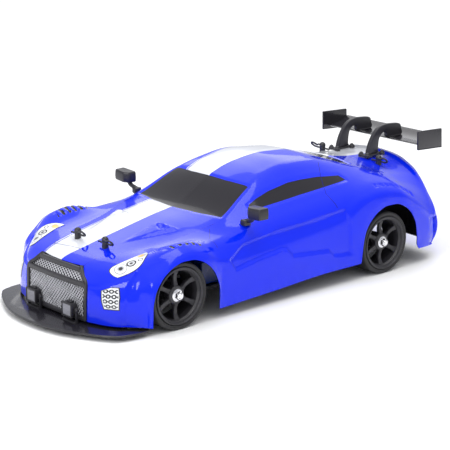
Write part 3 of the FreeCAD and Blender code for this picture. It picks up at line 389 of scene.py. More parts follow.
HEM = ([(232, 161, 97, 8)] + lip(FRONT_ARCH, FRONT_ARCH_ROWS)
       + [(82, 84.5, 97.5, 10), (57, 57, 97, 11), (12, 12, 97, 13), (-45, -45, 97, 16), (-84, -95, 98.5, 17)]
       + lip(REAR_ARCH, REAR_ARCH_ROWS) + [(-235, -174.5, 98.5, 22), (-298, -178, 98, 16.5)])
BODY_LINES = [MIDDLE, CROWN, RAIL, BELT, SHOULDER, FLANK, SKIRT, HEM]
ROUNDING = np.array([0.5, 0.45, 0.28, 0.4, 0.42, 0.4, 0.4, 0.1])
INWARD = [(0, 1), (0.1, 1), (0.6, 0.85), (0.5, 0.85), (0.6, 0.8), (1, 0.3), (1, 0), (1, 0)]
NOSE_S, NOSE_EDGE_S, TAIL_S, TAIL_EDGE_S, END_TURN = 232.0, 187.0, -298.0, -215.0, 15.0
SHELL_WALL = 1.2

# %% [markdown]
# A smooth line must not swing past its own points, or a flat door gets waves. The slope at each point is
# the harmonic mean of the slopes on its two sides, and nothing where they point opposite ways, and a cubic
# runs between the points. Across the car the sides between two lines are flat and each line is a rounded
# corner.

# %% The shell as a function of two numbers
def line_at(line, s):
    """Points of a body line at many places at once, by a cubic with harmonic-mean slopes."""
    table = np.array(sorted(line), float)
    place, xyz = table[:, 0], table[:, 1:]
    rise = np.diff(xyz, axis=0) / np.diff(place)[:, None]
    before, after = rise[:-1], rise[1:]
    total = before + after
    mean = np.where(before * after > 0, 2 * before * after / np.where(total == 0, 1, total), 0)
    slope = np.vstack([rise[:1], mean, rise[-1:]])
    k = np.clip(np.searchsorted(place, s, side="right") - 1, 0, len(place) - 2)
    span = (place[k + 1] - place[k])[..., None]
    t = (s - place[k])[..., None] / span
    return ((2 * t**3 - 3 * t**2 + 1) * xyz[k] + (t**3 - 2 * t**2 + t) * slope[k] * span
            + (3 * t**2 - 2 * t**3) * xyz[k + 1] + (t**3 - t**2) * slope[k + 1] * span)


def shell_surface(s, w, depth=0.0):
    """The shell at place s and girth w, where w = 0 is the middle and w = 7 the hem, sunk by a depth.

    Near line k, for |w - k| < r, the corner is a(1-t)^2 + 2ct(1-t) + bt^2 with t = (w - k + r) / 2r.
    """
    end = np.clip((s - NOSE_EDGE_S) / END_TURN, 0, 1) - np.clip((TAIL_EDGE_S - s) / END_TURN, 0, 1)
    corners = []
    for line, (share_y, share_z) in zip(BODY_LINES, INWARD):
        inward = np.stack([end * share_z, 0 * end + share_y, (1 - np.abs(end)) * share_z], -1)
        corners.append(line_at(line, s) - inward * depth)
    corners = np.stack(corners, axis=-2)
    last = len(BODY_LINES) - 1

    def pick(k):
        """The points of line k."""
        return np.take_along_axis(corners, k[..., None, None], axis=-2)[..., 0, :]

    near = np.clip(np.rint(w).astype(int), 1, last - 1)
    r = ROUNDING[near]
    corner = pick(near)
    a = corner + (pick(near - 1) - corner) * r[..., None]
    b = corner + (pick(near + 1) - corner) * r[..., None]
    t = np.clip((w - near + r) / (2 * r), 0, 1)[..., None]
    arc = a * (1 - t)**2 + corner * 2 * t * (1 - t) + b * t**2
    k = np.clip(np.floor(w).astype(int), 0, last - 1)
    f = (w - k)[..., None]
    flat = pick(k) * (1 - f) + pick(k + 1) * f
    return np.where((np.abs(w - near) <= r)[..., None], arc, flat)


# %% [markdown]
# Details of the shell, such as a window's edge or a vent, are heights added along the surface's normal. Each
# comes from the signed distance to an outline, which is positive inside. The same distances are stored on
# the mesh as attributes, and the paint reads them, so an edge is far crisper than the mesh is fine.

# %% Signed distances and easing
def inside(a, b, outline):
    """Signed distance of points to an outline: the nearest edge, and a level ray's crossings for sign."""
    start = np.asarray(outline, float)
    edge = np.roll(start, -1, 0) - start
    rel = np.stack([a, b], -1)[..., None, :] - start
    t = np.clip((rel * edge).sum(-1) / (edge**2).sum(-1), 0, 1)
    away = np.linalg.norm(rel - t[..., None] * edge, axis=-1).min(-1)
    stop_b = np.roll(start[:, 1], -1)
    spans = (start[:, 1] > b[..., None]) != (stop_b > b[..., None])
    rise = np.where(edge[:, 1] == 0, 1, edge[:, 1])
    at = start[:, 0] + (b[..., None] - start[:, 1]) * edge[:, 0] / rise
    odd = (spans & (a[..., None] < at)).sum(-1) % 2 == 1
    return np.where(odd, away, -away)


def ease(d, width):
    """0 outside, 1 deeper than the width, and t^2 (3 - 2t) between."""
    t = np.clip(d / width, 0, 1)
    return t * t * (3 - 2 * t)


# %% Outlines of the details, in millimetres
WINDSCREEN = [(15.6, -5), (14.6, 25), (10.3, 52.2), (51, 60), (57, 31.3), (60.2, 0), (60.2, -5)]
SIDE_WINDOW = [(24, 89.6), (18.9, 86.8), (-34.5, 91.7), (-97, 96.2), (-93.6, 99.9), (-66.4, 102.2),
               (-45.3, 102.6), (-29.8, 102), (-4.2, 98.1), (12, 94)]
REAR_WINDOW = [(-97, -5), (-97.5, 20), (-101, 26), (-128, 43), (-133, 42), (-137, 20), (-138, -5)]
GRILLE_OPENING = [(-5, 8), (44.5, 8), (44.5, 41.5), (30, 54.8), (-5, 54.8)]
DOOR = [(64, 42), (35, 47), (6, 50), (0, 49), (-7, 41.5), (-54, 37), (-60, 31), (-82, 29), (-80, 62),
        (-77, 73), (-40, 69), (20, 66), (52, 62), (70, 52)]
SCOOP = [(143, 25), (93.7, 21), (88.8, 44.5)]
LOUVRES = [(137, 75), (133, 87), (99, 90), (97, 78)]
REAR_LOUVRES = [(-118, 87.5), (-118, 93), (-172, 95), (-172, 90)]
BUMPER_SLOT = [(-196, 45), (-211, 43), (-211, 14), (-197, 16)]
NOSE_NOTCH = [(161, 58), (167, 52), (171.5, 37), (159, 51), (146, 63), (134, 70)]
STRIPE_NEAR = ([-230, -60, -32, 0, 60, 190], [7, 7, 5, 2, 1, 1])
STRIPE_FAR = ([-230, -35, 12, 60, 93, 128, 154, 190], [-37, -37, -33, -34, -39, -37, -33, -27])
STRIPE_END_S, LINE_GAP, LINE_WIDE = -218, 1.4, 1.3
SLOT_START, SLOT_PITCH, REAR_SLOT_START, REAR_SLOT_PITCH = 98, 7.2, -118, 7.0
BROW_Y, BROW_Z = [43, 48, 56, 68.5, 75.7, 78], [40.3, 40.6, 41.4, 47.6, 52.7, 58.5]
OUTSIDE = -9.0
print("door outline of", len(DOOR), "corners, grille opening of", len(GRILLE_OPENING))

# %% Painted areas and pressed depths
# How deep or high each pressed detail is, in millimetres.
GLASS_SINK, SLOT_SINK, MOUTH_SINK, DOOR_SINK, DIMPLE_SINK = 0.9, 1.2, 3.0, 1.9, 2.2
REAR_SLOT_SINK, BUMPER_SINK, NOTCH_SINK = 1.0, 2.2, 0.4
SCOOP_RISE, LOUVRE_RISE, BROW_RISE, TAIL_LIP_RISE = 2.6, 0.7, 1.3, 1.6


def shell_zones(p, s, w):
    """Signed distances of the painted and pressed areas, in millimetres."""
    x, across, z = p[..., 0], p[..., 1], p[..., 2]
    y, g = np.abs(across), np.abs(w)
    top = (2.9 - g) * 20
    glass = np.minimum(inside(x, y, WINDSCREEN), np.minimum((70 - x), top))
    glass = np.maximum(glass, np.minimum(inside(x, z, SIDE_WINDOW), (y - 57)))
    glass = np.maximum(glass, np.minimum(inside(x, y, REAR_WINDOW), top))
    near, far = np.interp(x, *STRIPE_NEAR), np.interp(x, *STRIPE_FAR)
    band = np.minimum(near - across, across - far)
    pin = np.where(s > STRIPE_END_S, across - (far - LINE_GAP - LINE_WIDE / 2), -OUTSIDE)
    # The slot and mouth distances mark where black painted shade goes: in the louvre slots and over the
    # grille's opening.
    phase = np.mod((x - SLOT_START) / SLOT_PITCH, 1.0)
    slot = np.minimum((0.25 - np.abs(phase - 0.3)) * SLOT_PITCH, inside(x, y, LOUVRES))
    return {"glass": glass, "white": np.minimum(band, s - STRIPE_END_S), "pin": pin,
            "slot": np.where((g > 2.5) & (g < 5), slot, OUTSIDE),
            "mouth": np.where(x > 175, inside(y, z, GRILLE_OPENING), OUTSIDE)}


def shell_relief(p, s, w, zones):
    """How far each point stands out along the normal: depths and heights eased in over a few millimetres."""
    x, y, z = p[..., 0], np.abs(p[..., 1]), p[..., 2]
    g = np.abs(w)

    def zone(where, a, outline):
        """Distance to an outline drawn in x and a, used only where a test holds."""
        return np.where(where, inside(x, a, outline), OUTSIDE)

    high = -GLASS_SINK * ease(zones["glass"] + 2.2, 2.2) - SLOT_SINK * ease(zones["slot"], 0.8)
    high -= MOUTH_SINK * ease(zones["mouth"], 1.0)
    high -= DOOR_SINK * ease(zone((g > 3.7) & (x < 110) & (x > -110), z, DOOR) + 1, 1.8)
    ramp = np.clip((143 - x) / 50, 0, 1)
    high += SCOOP_RISE * ramp * ease(zone(g < 2.6, y, SCOOP) + 0.5, 2.2)
    high -= DIMPLE_SINK * ease(5 - np.hypot(x - 97.5, (y - 32) * 0.8), 3)
    high += LOUVRE_RISE * ease(zone(g < 5, y, LOUVRES), 1.5)
    phase = np.mod((x - REAR_SLOT_START) / REAR_SLOT_PITCH, 1.0)
    rear = zone((g > 3.4) & (g < 5), y, REAR_LOUVRES)
    high -= REAR_SLOT_SINK * ease(rear, 1.2) * ease(0.4 - np.abs(phase - 0.5), 0.15)
    high -= BUMPER_SINK * ease(zone((x < -180) & (y > 75), z, BUMPER_SLOT) + 0.3, 1.0)
    face = (x > 150) & (y > 43) & (y < 79) & (s > 170)
    brow = ease(np.interp(y, BROW_Y, BROW_Z) - z, 1.6) * ease(79 - y, 2) * ease(y - 44.5, 1.5)
    high += np.where(face, BROW_RISE * brow, 0)
    high -= NOTCH_SINK * ease(zone((g > 3.6) & (x > 125), z, NOSE_NOTCH) + 0.4, 2)
    high += TAIL_LIP_RISE * ease(4 - np.abs(s + 209), 4) * ease(3.2 - g, 0.6)
    return high


# The panel seams seen from above. They have no groove in the mesh; the paint draws them as a line of painted
# shade.
SEAMS = {
    "door_rear": [(-83, 49), (-74, 61), (-62.6, 81.3), (-64.7, 85.9), (-68, 90.5)],
    "bonnet_side": [(186.5, 29.5), (172, 32.5), (150, 44.5), (120, 50), (100, 54.8), (61, 63)],
    "bonnet_front": [(167.5, 0), (168.5, 12), (172, 32)],
    "fender": [(70, 66), (82, 80), (81.5, 90)],
}


def seam_side(x, y, points):
    """Signed distance to an open line seen from above: its sign is the side, and it grows past the ends."""
    start = np.asarray(points[:-1], float)
    edge = np.asarray(points[1:], float) - start
    rel = np.stack([x, y], -1)[..., None, :] - start
    t = np.clip((rel * edge).sum(-1) / (edge**2).sum(-1), 0, 1)
    away = rel - t[..., None] * edge
    size = np.linalg.norm(away, axis=-1)
    turn = np.sign(edge[:, 0] * rel[..., 1] - edge[:, 1] * rel[..., 0])
    k = size.argmin(-1)[..., None]
    return np.take_along_axis(size * turn, k, -1)[..., 0]


# %% The two skins and the rims between them
ROWS, COLUMNS = 388, 196


def shell_points(s, w):
    """Outer skin, inner skin and normals, with the relief added to both skins."""
    base = shell_surface(s, np.abs(w))
    inner = shell_surface(s, np.abs(w), SHELL_WALL)
    flip = np.where(w < 0, -1.0, 1.0)
    base[..., 1] *= flip
    inner[..., 1] *= flip
    normal = unit(np.cross(np.gradient(base, axis=1), np.gradient(base, axis=0)))
    zones = shell_zones(base, s, w)
    high = shell_relief(base, s, w, zones)
    move = normal * high[..., None]
    return base + move, inner + move, normal, zones, base


def make_shell():
    """Joins the outer skin to an inner skin half as fine, with three triangles for each inner edge."""
    s = np.linspace(NOSE_S, TAIL_S, ROWS + 1)[:, None] + np.zeros((1, COLUMNS + 1))
    w = np.linspace(-7, 7, COLUMNS + 1)[None, :] + np.zeros((ROWS + 1, 1))
    outer, inner, _, zones, base = shell_points(s, w)
    lining = inner[::2, ::2]
    hidden = np.ones(lining[..., 0].size)
    points = np.vstack([outer.reshape(-1, 3), lining.reshape(-1, 3)])
    outer_index = np.arange(outer[..., 0].size).reshape(s.shape)
    inner_index = np.arange(hidden.size).reshape(lining.shape[:2]) + outer_index.size
    rims = []
    for turn in range(4):
        o, i = np.rot90(outer_index, turn)[0], np.rot90(inner_index, turn)[0]
        rims += [np.stack([o[:-2:2], o[1:-1:2], i[:-1]], -1), np.stack([o[1:-1:2], i[1:], i[:-1]], -1),
                 np.stack([o[1:-1:2], o[2::2], i[1:]], -1)]
    skin = grid_faces(*s.shape)[:, ::-1]
    lining_faces = grid_faces(*lining.shape[:2]) + outer_index.size
    values = {label: np.concatenate([d.ravel(), hidden * OUTSIDE]) for label, d in zones.items()}
    x, y = base[..., 0], np.abs(base[..., 1])
    # Distance to the nearest panel seam, which the paint turns into a darker blue line of painted shade.
    stack = np.stack([np.where(np.abs(w) < 4.4, seam_side(x, y, seam), -OUTSIDE) for seam in SEAMS.values()])
    nearest = np.take_along_axis(stack, np.abs(stack).argmin(0)[None], 0)[0]
    values["seam"] = np.concatenate([nearest.ravel(), -OUTSIDE * hidden])
    values["lining"] = np.concatenate([np.zeros(outer_index.size), hidden])
    return (points, [skin, lining_faces, *rims]), values


# %% [markdown]
# ## The paint
#
# Gloss blue under a clear coat. The white stripe and the smoked windows are one finish with the blue, as they
# are paint on one sheet. The black in the louvre slots is painted shade. The black over the grille's mouth,
# where the real shell is open, is painted shade together with the black foam behind the opening. A darker
# blue line along each panel seam is painted shade of a groove that the mesh does not have. Each mask is a
# stored distance turned into a sharp step.

# %% Gloss blue with its stripe and windows, and painted shade in the slots, the mouth and the panel seams
def step(material, label, width=0.12, reach=0.0, size=False):
    """1 where a stored distance is above a reach, over a short width; with size, where it is nearer."""
    nodes, links = material.node_tree.nodes, material.node_tree.links
    stored = add(nodes, "Attribute")
    stored.attribute_name = label
    value = stored.outputs["Fac"]
    if size:
        plain = add(nodes, "Math")
        plain.operation = "ABSOLUTE"
        links.new(value, plain.inputs[0])
        value, width = plain.outputs[0], -width
    out = add(nodes, "MapRange", From_Min=reach - width, From_Max=reach + width)
    links.new(value, out.inputs["Value"])
    return out.outputs["Result"]


def over(material, below, mask, colour):
    """Lays one colour over another where a mask is 1."""
    nodes, links = material.node_tree.nodes, material.node_tree.links
    mix = add(nodes, "MixRGB", Color2=(*colour, 1))
    links.new(mask, mix.inputs["Fac"])
    links.new(below, mix.inputs["Color1"])
    return mix.outputs["Color"]


BLUE, WHITE, SMOKE = (0.001, 0.020, 0.84), (0.72, 0.74, 0.80), (0.016, 0.015, 0.02)
# Painted shade below: near-black for the louvre slots and the grille's mouth, dark blue along the panel
# seams.
SHADE_BLACK, SEAM_SHADE_BLUE, LINING_BLACK = (0.008, 0.008, 0.01), (0.0, 0.003, 0.16), (0.012, 0.012, 0.016)
BODY_FILM, GLASS_FILM = 0.85, 0.35


def paint():
    """Blue, the stripe and the windows, then painted shade: black in the slots and mouth, darker blue along
    the seams.
    """
    material = finish("body_paint", BLUE, 0.16, coat=1.0, grain=2200, bump=0.012, swing=0.04)
    nodes, links = material.node_tree.nodes, material.node_tree.links
    shader = part(material, "ShaderNodeBsdfPrincipled")
    tone = part(material, "ShaderNodeMixRGB").outputs["Color"]
    tone = over(material, tone, step(material, "pin", 0.12, LINE_WIDE / 2, size=True), WHITE)
    # The slot and mouth masks lay black painted shade over the blue.
    for label, colour in (("white", WHITE), ("glass", SMOKE), ("slot", SHADE_BLACK), ("mouth", SHADE_BLACK)):
        tone = over(material, tone, step(material, label), colour)
    # Painted shade: a darker blue line along each panel seam stands for the shade in a groove.
    tone = over(material, tone, step(material, "seam", 0.18, 0.32, size=True), SEAM_SHADE_BLUE)
    tone = over(material, tone, step(material, "lining", 0.05, 0.5), LINING_BLACK)
    links.new(tone, shader.inputs["Base Color"])
    shader.inputs["Specular IOR Level"].default_value = 0.1
    film = add(nodes, "MapRange", To_Min=BODY_FILM, To_Max=GLASS_FILM)
    links.new(step(material, "glass"), film.inputs["Value"])
    links.new(film.outputs["Result"], shader.inputs["Coat Weight"])
    return material


PAINT = paint()
shell, shell_values = make_shell()
new_piece("painted_body_shell", shell, PAINT, "chassis", "body_shell", 50, shell_values)


# %% [markdown]
# ## Wheels
#
# A low-profile slick tyre on a six-spoke rim. Tyre and rim are profiles turned about the axle. A spoke is a
# section carried from the hub to the barrel that dips in the middle, so the rim looks concave.

# %% Turned solids with closed ends
def lathe(profile, base, axis, count=32):
    """A closed solid of revolution from (height, radius) pairs along an axis that starts at a base."""
    h, r = np.asarray(profile, float).T
    axis = unit(np.asarray(axis, float))
    side = unit(np.cross(axis, (0.3, 0.5, 0.81) if abs(axis[2]) < 0.9 else (1.0, 0.0, 0.0)))
    top = np.cross(axis, side)
    a = (np.arange(count) * 2 * math.pi / count)[None, :, None]
    ring = np.cos(a) * side + np.sin(a) * top
    return closed(np.asarray(base, float) + h[:, None, None] * axis + r[:, None, None] * ring)


# %% Profiles of tyre, rim, hub and drive cup, as (distance from the middle, radius)
CORNERS = {"front_left": (130.0, 1), "front_right": (130.0, -1), "rear_left": (-130.0, 1),
           "rear_right": (-130.0, -1)}
TYRE_PROFILE = [(73.0, 24.5), (72.6, 26.2), (71.4, 27.2), (71.0, 29.2), (72.4, 30.8), (74.6, 31.0),
                (93.4, 31.0), (95.6, 30.8), (97.0, 29.4), (96.9, 28.6), (96.3, 28.3), (96.5, 27.6),
                (96.2, 26.8), (95.0, 26.2), (94.4, 24.5)]
RIM_PROFILE = [(71.0, 22.6), (71.0, 26.2), (72.5, 26.2), (73.0, 24.4), (94.4, 24.4), (94.9, 26.2),
               (96.6, 26.3), (97.1, 25.7), (97.1, 25.0), (96.4, 24.7), (96.3, 24.1), (95.2, 23.9),
               (94.9, 23.1), (93.4, 22.8), (93.0, 22.2), (88.0, 22.2), (86.0, 22.6)]
KNURL_PROFILE = [(93.2, 22.9), (93.2, 22.0), (95.3, 23.3), (95.3, 24.0)]
HUB_PROFILE = [(85.2, 6.9), (85.2, 8.4), (91.2, 8.6), (92.2, 7.6), (92.2, 2.7), (89.0, 2.7), (89.0, 6.9)]
CUP_PROFILE = [(65.3, 4.8), (65.3, 5.7), (71.6, 5.7), (71.6, 2.4), (70.6, 2.4), (70.6, 4.8)]
SPOKES, KNURLS = 6, 96
print("tyre", round(max(r for _, r in TYRE_PROFILE) * 2, 1), "mm across,", SPOKES, "spokes")


# %% Tyres, rims, axles and nuts
def spoke():
    """One spoke along the radius: rows (across, out, radius), wider at both ends and lowest half way."""
    r = np.linspace(6.5, 23.0, 18)
    top = np.interp(r, [6.5, 9.5, 13.0, 17.5, 21.0, 23.0], [91.8, 91.0, 89.9, 90.0, 91.6, 93.2])
    low = np.interp(r, [6.5, 12, 17, 23.0], [87.4, 86.4, 86.8, 89.2])
    half = np.interp(r, [6.5, 9.5, 13.0, 19.0, 23.0], [3.4, 2.5, 2.1, 2.3, 3.3])
    u = np.array([-1, -0.92, -0.72, -0.3, 0.3, 0.72, 0.92, 1, 0.9, 0, -0.9])
    v = np.array([0.45, 0.82, 0.96, 0.90, 0.90, 0.96, 0.82, 0.45, 0.02, 0, 0.02])
    return np.stack([half[:, None] * u, low[:, None] + (top - low)[:, None] * v, r[:, None] + 0 * u], -1)


def make_wheel(corner, x, side):
    """Tyre, rim, and the axle with its cup, bearings, drive hexagon and flanged nut, on one wheel body."""
    tyre = turned(rounded(TYRE_PROFILE, 0.8, 4), x, side, 144)
    parts = [turned(rounded(RIM_PROFILE, 0.25, 3), x, side, 144),
             turned(KNURL_PROFILE, x, side, 576, lambda a, r: 0.12 * np.cos(KNURLS * a) * (r < 23.5)),
             turned(rounded(HUB_PROFILE, 0.35, 3), x, side, 64)]
    across, out, r = np.moveaxis(spoke(), -1, 0)
    for k in range(SPOKES):
        a = 2 * math.pi * k / SPOKES
        parts.append(closed(np.stack([x + r * math.sin(a) + across * math.cos(a), side * out,
                                      AXLE_Z + r * math.cos(a) - across * math.sin(a)], -1)))
    way = (0, side, 0)

    def at(y):
        """The point on the axle at a distance from the middle of the car."""
        return (x, side * y, AXLE_Z)

    thread = [(23.6 + 0.25 * k, 2.45 - 0.16 * (k % 2)) for k in range(18)]
    axle = [turned(CUP_PROFILE, x, side, 32),
            lathe([(1.0, 2.5), (23.4, 2.5)] + thread + [(28.3, 2.0)], at(69.6), way, 24),
            *[turned([(y, 2.6), (y, 6.0), (y + 4, 6.0), (y + 4, 2.6)], x, side, 32) for y in (72.0, 79.0)],
            lathe([(0, 6.6), (0.3, 6.9), (3.7, 6.9), (4, 6.6)], at(85.0), way, 6)]
    nut = [lathe([(0, 5.4), (0.2, 5.7), (0.8, 5.7), (1.2, 5.0), (1.3, 4.3)], at(92.0), way, 48),
           lathe([(0, 3.7), (0.3, 4.05), (3.0, 4.05), (3.5, 3.6), (3.55, 3.3)], at(93.0), way, 6),
           lathe([(0, 3.3), (0.5, 3.3), (0.7, 3.0)], at(96.4), way, 32)]
    body = f"{corner}_wheel"
    new_piece(f"{corner}_slick_tyre", tyre, TYRE, body, f"{corner}_tyre", 40)
    new_piece(f"{corner}_spoked_rim", joined(*parts), RIM, body, f"{corner}_rim", 40)
    new_piece(f"{corner}_axle_and_nut", joined(*axle, *nut), CHROME, body, f"{corner}_axle", 40)


for wheel, (wheel_x, wheel_side) in CORNERS.items():
    make_wheel(wheel, wheel_x, wheel_side)

# %% [markdown]
# ## The nose
#
# The grille is a black frame with two panels of crossed wires, in two layers. A wire runs straight across its
# panel seen from the front and follows the nose's curve from side to side. Its ends are where the line leaves
# the panel.

# %% Grille frame and wire panels
def nose_x(y, z):
    """The nose's face: x falls with height and, by a square law, towards the sides."""
    return np.interp(z, [9, 28, 41, 54], [196.6, 196.2, 195.4, 188.8]) - 2.0 * (np.abs(y) / 43.4)**2


def panel_wires(outline, slope, pitch, radius, back, steps=14):
    """Parallel wires across a panel: z = slope y + c, with c stepping by the pitch, cut at the outline."""
    outline = np.asarray(outline, float)
    offsets = outline[:, 1] - slope * outline[:, 0]
    gap = pitch * math.hypot(1, slope)
    wires = []
    for c in np.arange(offsets.min() + gap / 2, offsets.max(), gap):
        y = np.linspace(outline[:, 0].min(), outline[:, 0].max(), 700)
        z = slope * y + c
        keep = y[inside(y, z, outline) > 0]
        if len(keep) > 8:
            y = np.linspace(keep[0], keep[-1], steps)
            z = slope * y + c
            wires.append(swept(np.stack([nose_x(y, z) - back, y, z], -1), circle(radius, 6), (1, 0, 0)))
    return wires


def frame_bar(points, width, depth=3.0, back=0.4):
    """A bar of the frame with rounded corners along a path of (y, z) on the nose."""
    y, z = smooth_line(points, 10).T
    path = np.stack([nose_x(y, z) - back, y, z], -1)
    section = rounded([(-width / 2, -depth / 2), (width / 2, -depth / 2), (width / 2, depth / 2),
                       (-width / 2, depth / 2)], 0.7, 4)
    return swept(path, section, (1, 0, 0))


UPPER_PANEL = [(-28, 51.5), (28, 51.5), (39.5, 43), (-39.5, 43)]
LOWER_PANEL = [(-42, 39.5), (42, 39.5), (42, 11), (-42, 11)]
bars = [frame_bar([(-30.5, 51.9), (-15, 52.0), (0, 52.0), (15, 52.0), (30.5, 51.9)], 4.6),
        frame_bar([(-43, 41.3), (-20, 41.3), (0, 41.3), (20, 41.3), (43, 41.3)], 4.6),
        frame_bar([(-43.4, 10.6), (-20, 10.6), (0, 10.6), (20, 10.6), (43.4, 10.6)], 4.0)]
bars += [frame_bar([(k * 28.6, 54.3), (k * 36, 47.6), (k * 43, 41.2), (k * 43.2, 26), (k * 43.3, 9.2)], 3.6)
         for k in (1, -1)]
new_piece("grille_frame", joined(*bars), MOULDED, "chassis", "grille", 40)
upper = panel_wires(UPPER_PANEL, 0.62, 2.3, 0.46, 1.5) + panel_wires(UPPER_PANEL, -0.62, 2.3, 0.46, 1.0)
lower = panel_wires(LOWER_PANEL, 1.1, 2.5, 0.46, 1.5) + panel_wires(LOWER_PANEL, -1.9, 2.3, 0.36, 1.0)
new_piece("grille_wire_panels", joined(*upper, *lower), MESH, "chassis", "grille", sharp=60)

# %% [markdown]
# Two square fog lamps stand in front of the grille on brackets. Each has a deep black case with a raised rim,
# ears with a bolt, and a pale lens with ribs up and across.

# %% Fog lamps
LAMP_Y, LAMP_Z = 27.5, 17.5


def bolt(place, axis, radius=1.5, height=1.0):
    """A domed bolt head."""
    a = np.linspace(0, math.pi / 2 * 0.94, 6)
    dome = [(height * math.sin(t), radius * math.cos(t)) for t in a]
    return lathe([(-0.4, radius)] + dome, place, axis, 20)


def fog_lamp(side):
    """Case, rim, ears, bracket and bolts of one lamp, and its ribbed lens."""
    y = side * LAMP_Y

    def lamp_block(x_span, y_span, z_span, edge, radius, axes=(0, 1, 2)):
        """A block whose sides and heights are counted from the lamp's middle."""
        low = (x_span[0], y + y_span[0], LAMP_Z + z_span[0])
        return block(low, (x_span[1], y + y_span[1], LAMP_Z + z_span[1]), edge, radius, axes)

    def rib(a0, c0, a1, c1, radius):
        """A straight rib on the lens, thin and round."""
        line = np.linspace((202.9, y + a0, LAMP_Z + c0), (202.9, y + a1, LAMP_Z + c1), 3)
        return swept(line, circle(radius, 8), (1, 0, 0))

    case = [lamp_block((196.2, 201.6), (-7, 7), (-6.2, 6.2), 0.8, 1.6, (1, 2, 0))]
    for wide, tall in (((-7.4, 7.4), (5.2, 6.6)), ((-7.4, 7.4), (-6.6, -5.2)),
                       ((-7.4, -6.0), (-5.4, 5.4)), ((6.0, 7.4), (-5.4, 5.4))):
        case.append(lamp_block((201.2, 203.6), wide, tall, 0.3, 0.4, (1, 2, 0)))
    for k in (-1, 1):
        ear, leg = k * 8.2, k * 9.1
        case += [lamp_block((197.2, 200.4), (ear - 1.6, ear + 1.6), (-2.4, 2.4), 0.4, 1.0),
                 bolt((198.8, y + k * 9.7, LAMP_Z), (0, k, 0), 1.6, 1.2),
                 lamp_block((197.4, 200.2), (leg - 0.7, leg + 0.7), (-11.3, 1.0), 0.25, 0.5)]
    case += [lamp_block((197.0, 202.0), (-9.6, 9.6), (-11.5, -10.1), 0.4, 1.2),
             lamp_block((197.2, 201.2), (-3.5, 3.5), (6.0, 7.8), 0.5, 1.0)]
    lens = [lamp_block((200.8, 202.9), (-6.1, 6.1), (-5.3, 5.3), 0.3, 0.6, (1, 2, 0))]
    lens += [rib(1.3 * k - 5.2, -4.9, 1.3 * k - 5.2, 4.9, 0.5) for k in range(9)]
    lens += [rib(-5.6, 3.2 * k - 3.2, 5.6, 3.2 * k - 3.2, 0.35) for k in range(3)]
    return case, lens


LENS = finish("lamp_lens", (0.30, 0.30, 0.34), 0.18, coat=0.6, bump=0.35, grain=1500, swing=0.3)
left_case, left_lens = fog_lamp(1)
right_case, right_lens = fog_lamp(-1)
new_piece("fog_lamp_housings", joined(*left_case, *right_case), MOULDED, "chassis", "fog_lamp_cases",
          40)
new_piece("fog_lamp_ribbed_lenses", joined(*left_lens, *right_lens), LENS, "chassis", "fog_lamp_lenses",
          40)

# %% [markdown]
# The splitter is a smooth blade under the nose whose rim is rounded all the way. Two pegs reach up from it.

# %% Splitter
BLADE_RIM = smooth_line([(226, 0), (224.9, 19), (221.5, 36), (216.5, 50), (206, 71), (199, 82), (191.5, 89.5),
                         (175.5, 93.5), (161.5, 93.2)], 6)
BLADE_BACK = [(160.8, 90), (162, 85), (173, 78), (180, 60), (186, 40), (184, 24), (178, 22)]
half_blade = np.vstack([BLADE_RIM, BLADE_BACK])
blade = plate(np.vstack([half_blade, half_blade[:0:-1] * (1, -1)]), 4.0, 6.2, 0.8)
pegs = [lathe([(0, 2.5), (5.8, 2.5)], (182, k, 6.2), (0, 0, 1), 24) for k in (-14, 14)]
new_piece("front_splitter_blade", joined(blade, *pegs), SATIN, "chassis", "front_splitter",
          50)

# %% [markdown]
# ## The rear wing
#
# A cambered plane hangs from two swan-neck struts, between two end plates. The plane's section is an outline
# of chord points carried across the car.

# %% Wing, struts and bolts
CHORD = smooth_line([(-204.5, 113.4), (-208, 111.9), (-213, 111.0), (-222, 110.9), (-231, 112.8),
                     (-239.6, 117.6), (-239.9, 118.4), (-231, 114.3), (-222, 112.6), (-213, 112.7),
                     (-208, 113.7), (-205, 114.3)], 4, False)
wing_y = np.linspace(-67.4, 67.4, 15)[:, None]
plane = closed(np.stack([CHORD[:, 0] + 0 * wing_y, wing_y + 0 * CHORD[:, 0], CHORD[:, 1] + 0 * wing_y], -1))
END_PLATE = rounded([(-204.2, 107.6), (-203.8, 127.2), (-239.2, 125.8), (-240.2, 105.8)], 1.2, 4)
end_plates = [plate(END_PLATE, low, low + 1.9, 0.5, (0, 2, 1)) for low in (67.0, -68.9)]
beads = [swept([(-205, k, 108.2), (-222, k, 107.3), (-239.4, k, 106.6)], circle(0.5, 8), (0, 1, 0))
         for k in (68.9, -68.9)]
new_piece("rear_wing_plane", joined(plane, *end_plates, *beads), SATIN, "chassis", "rear_wing",
          40)

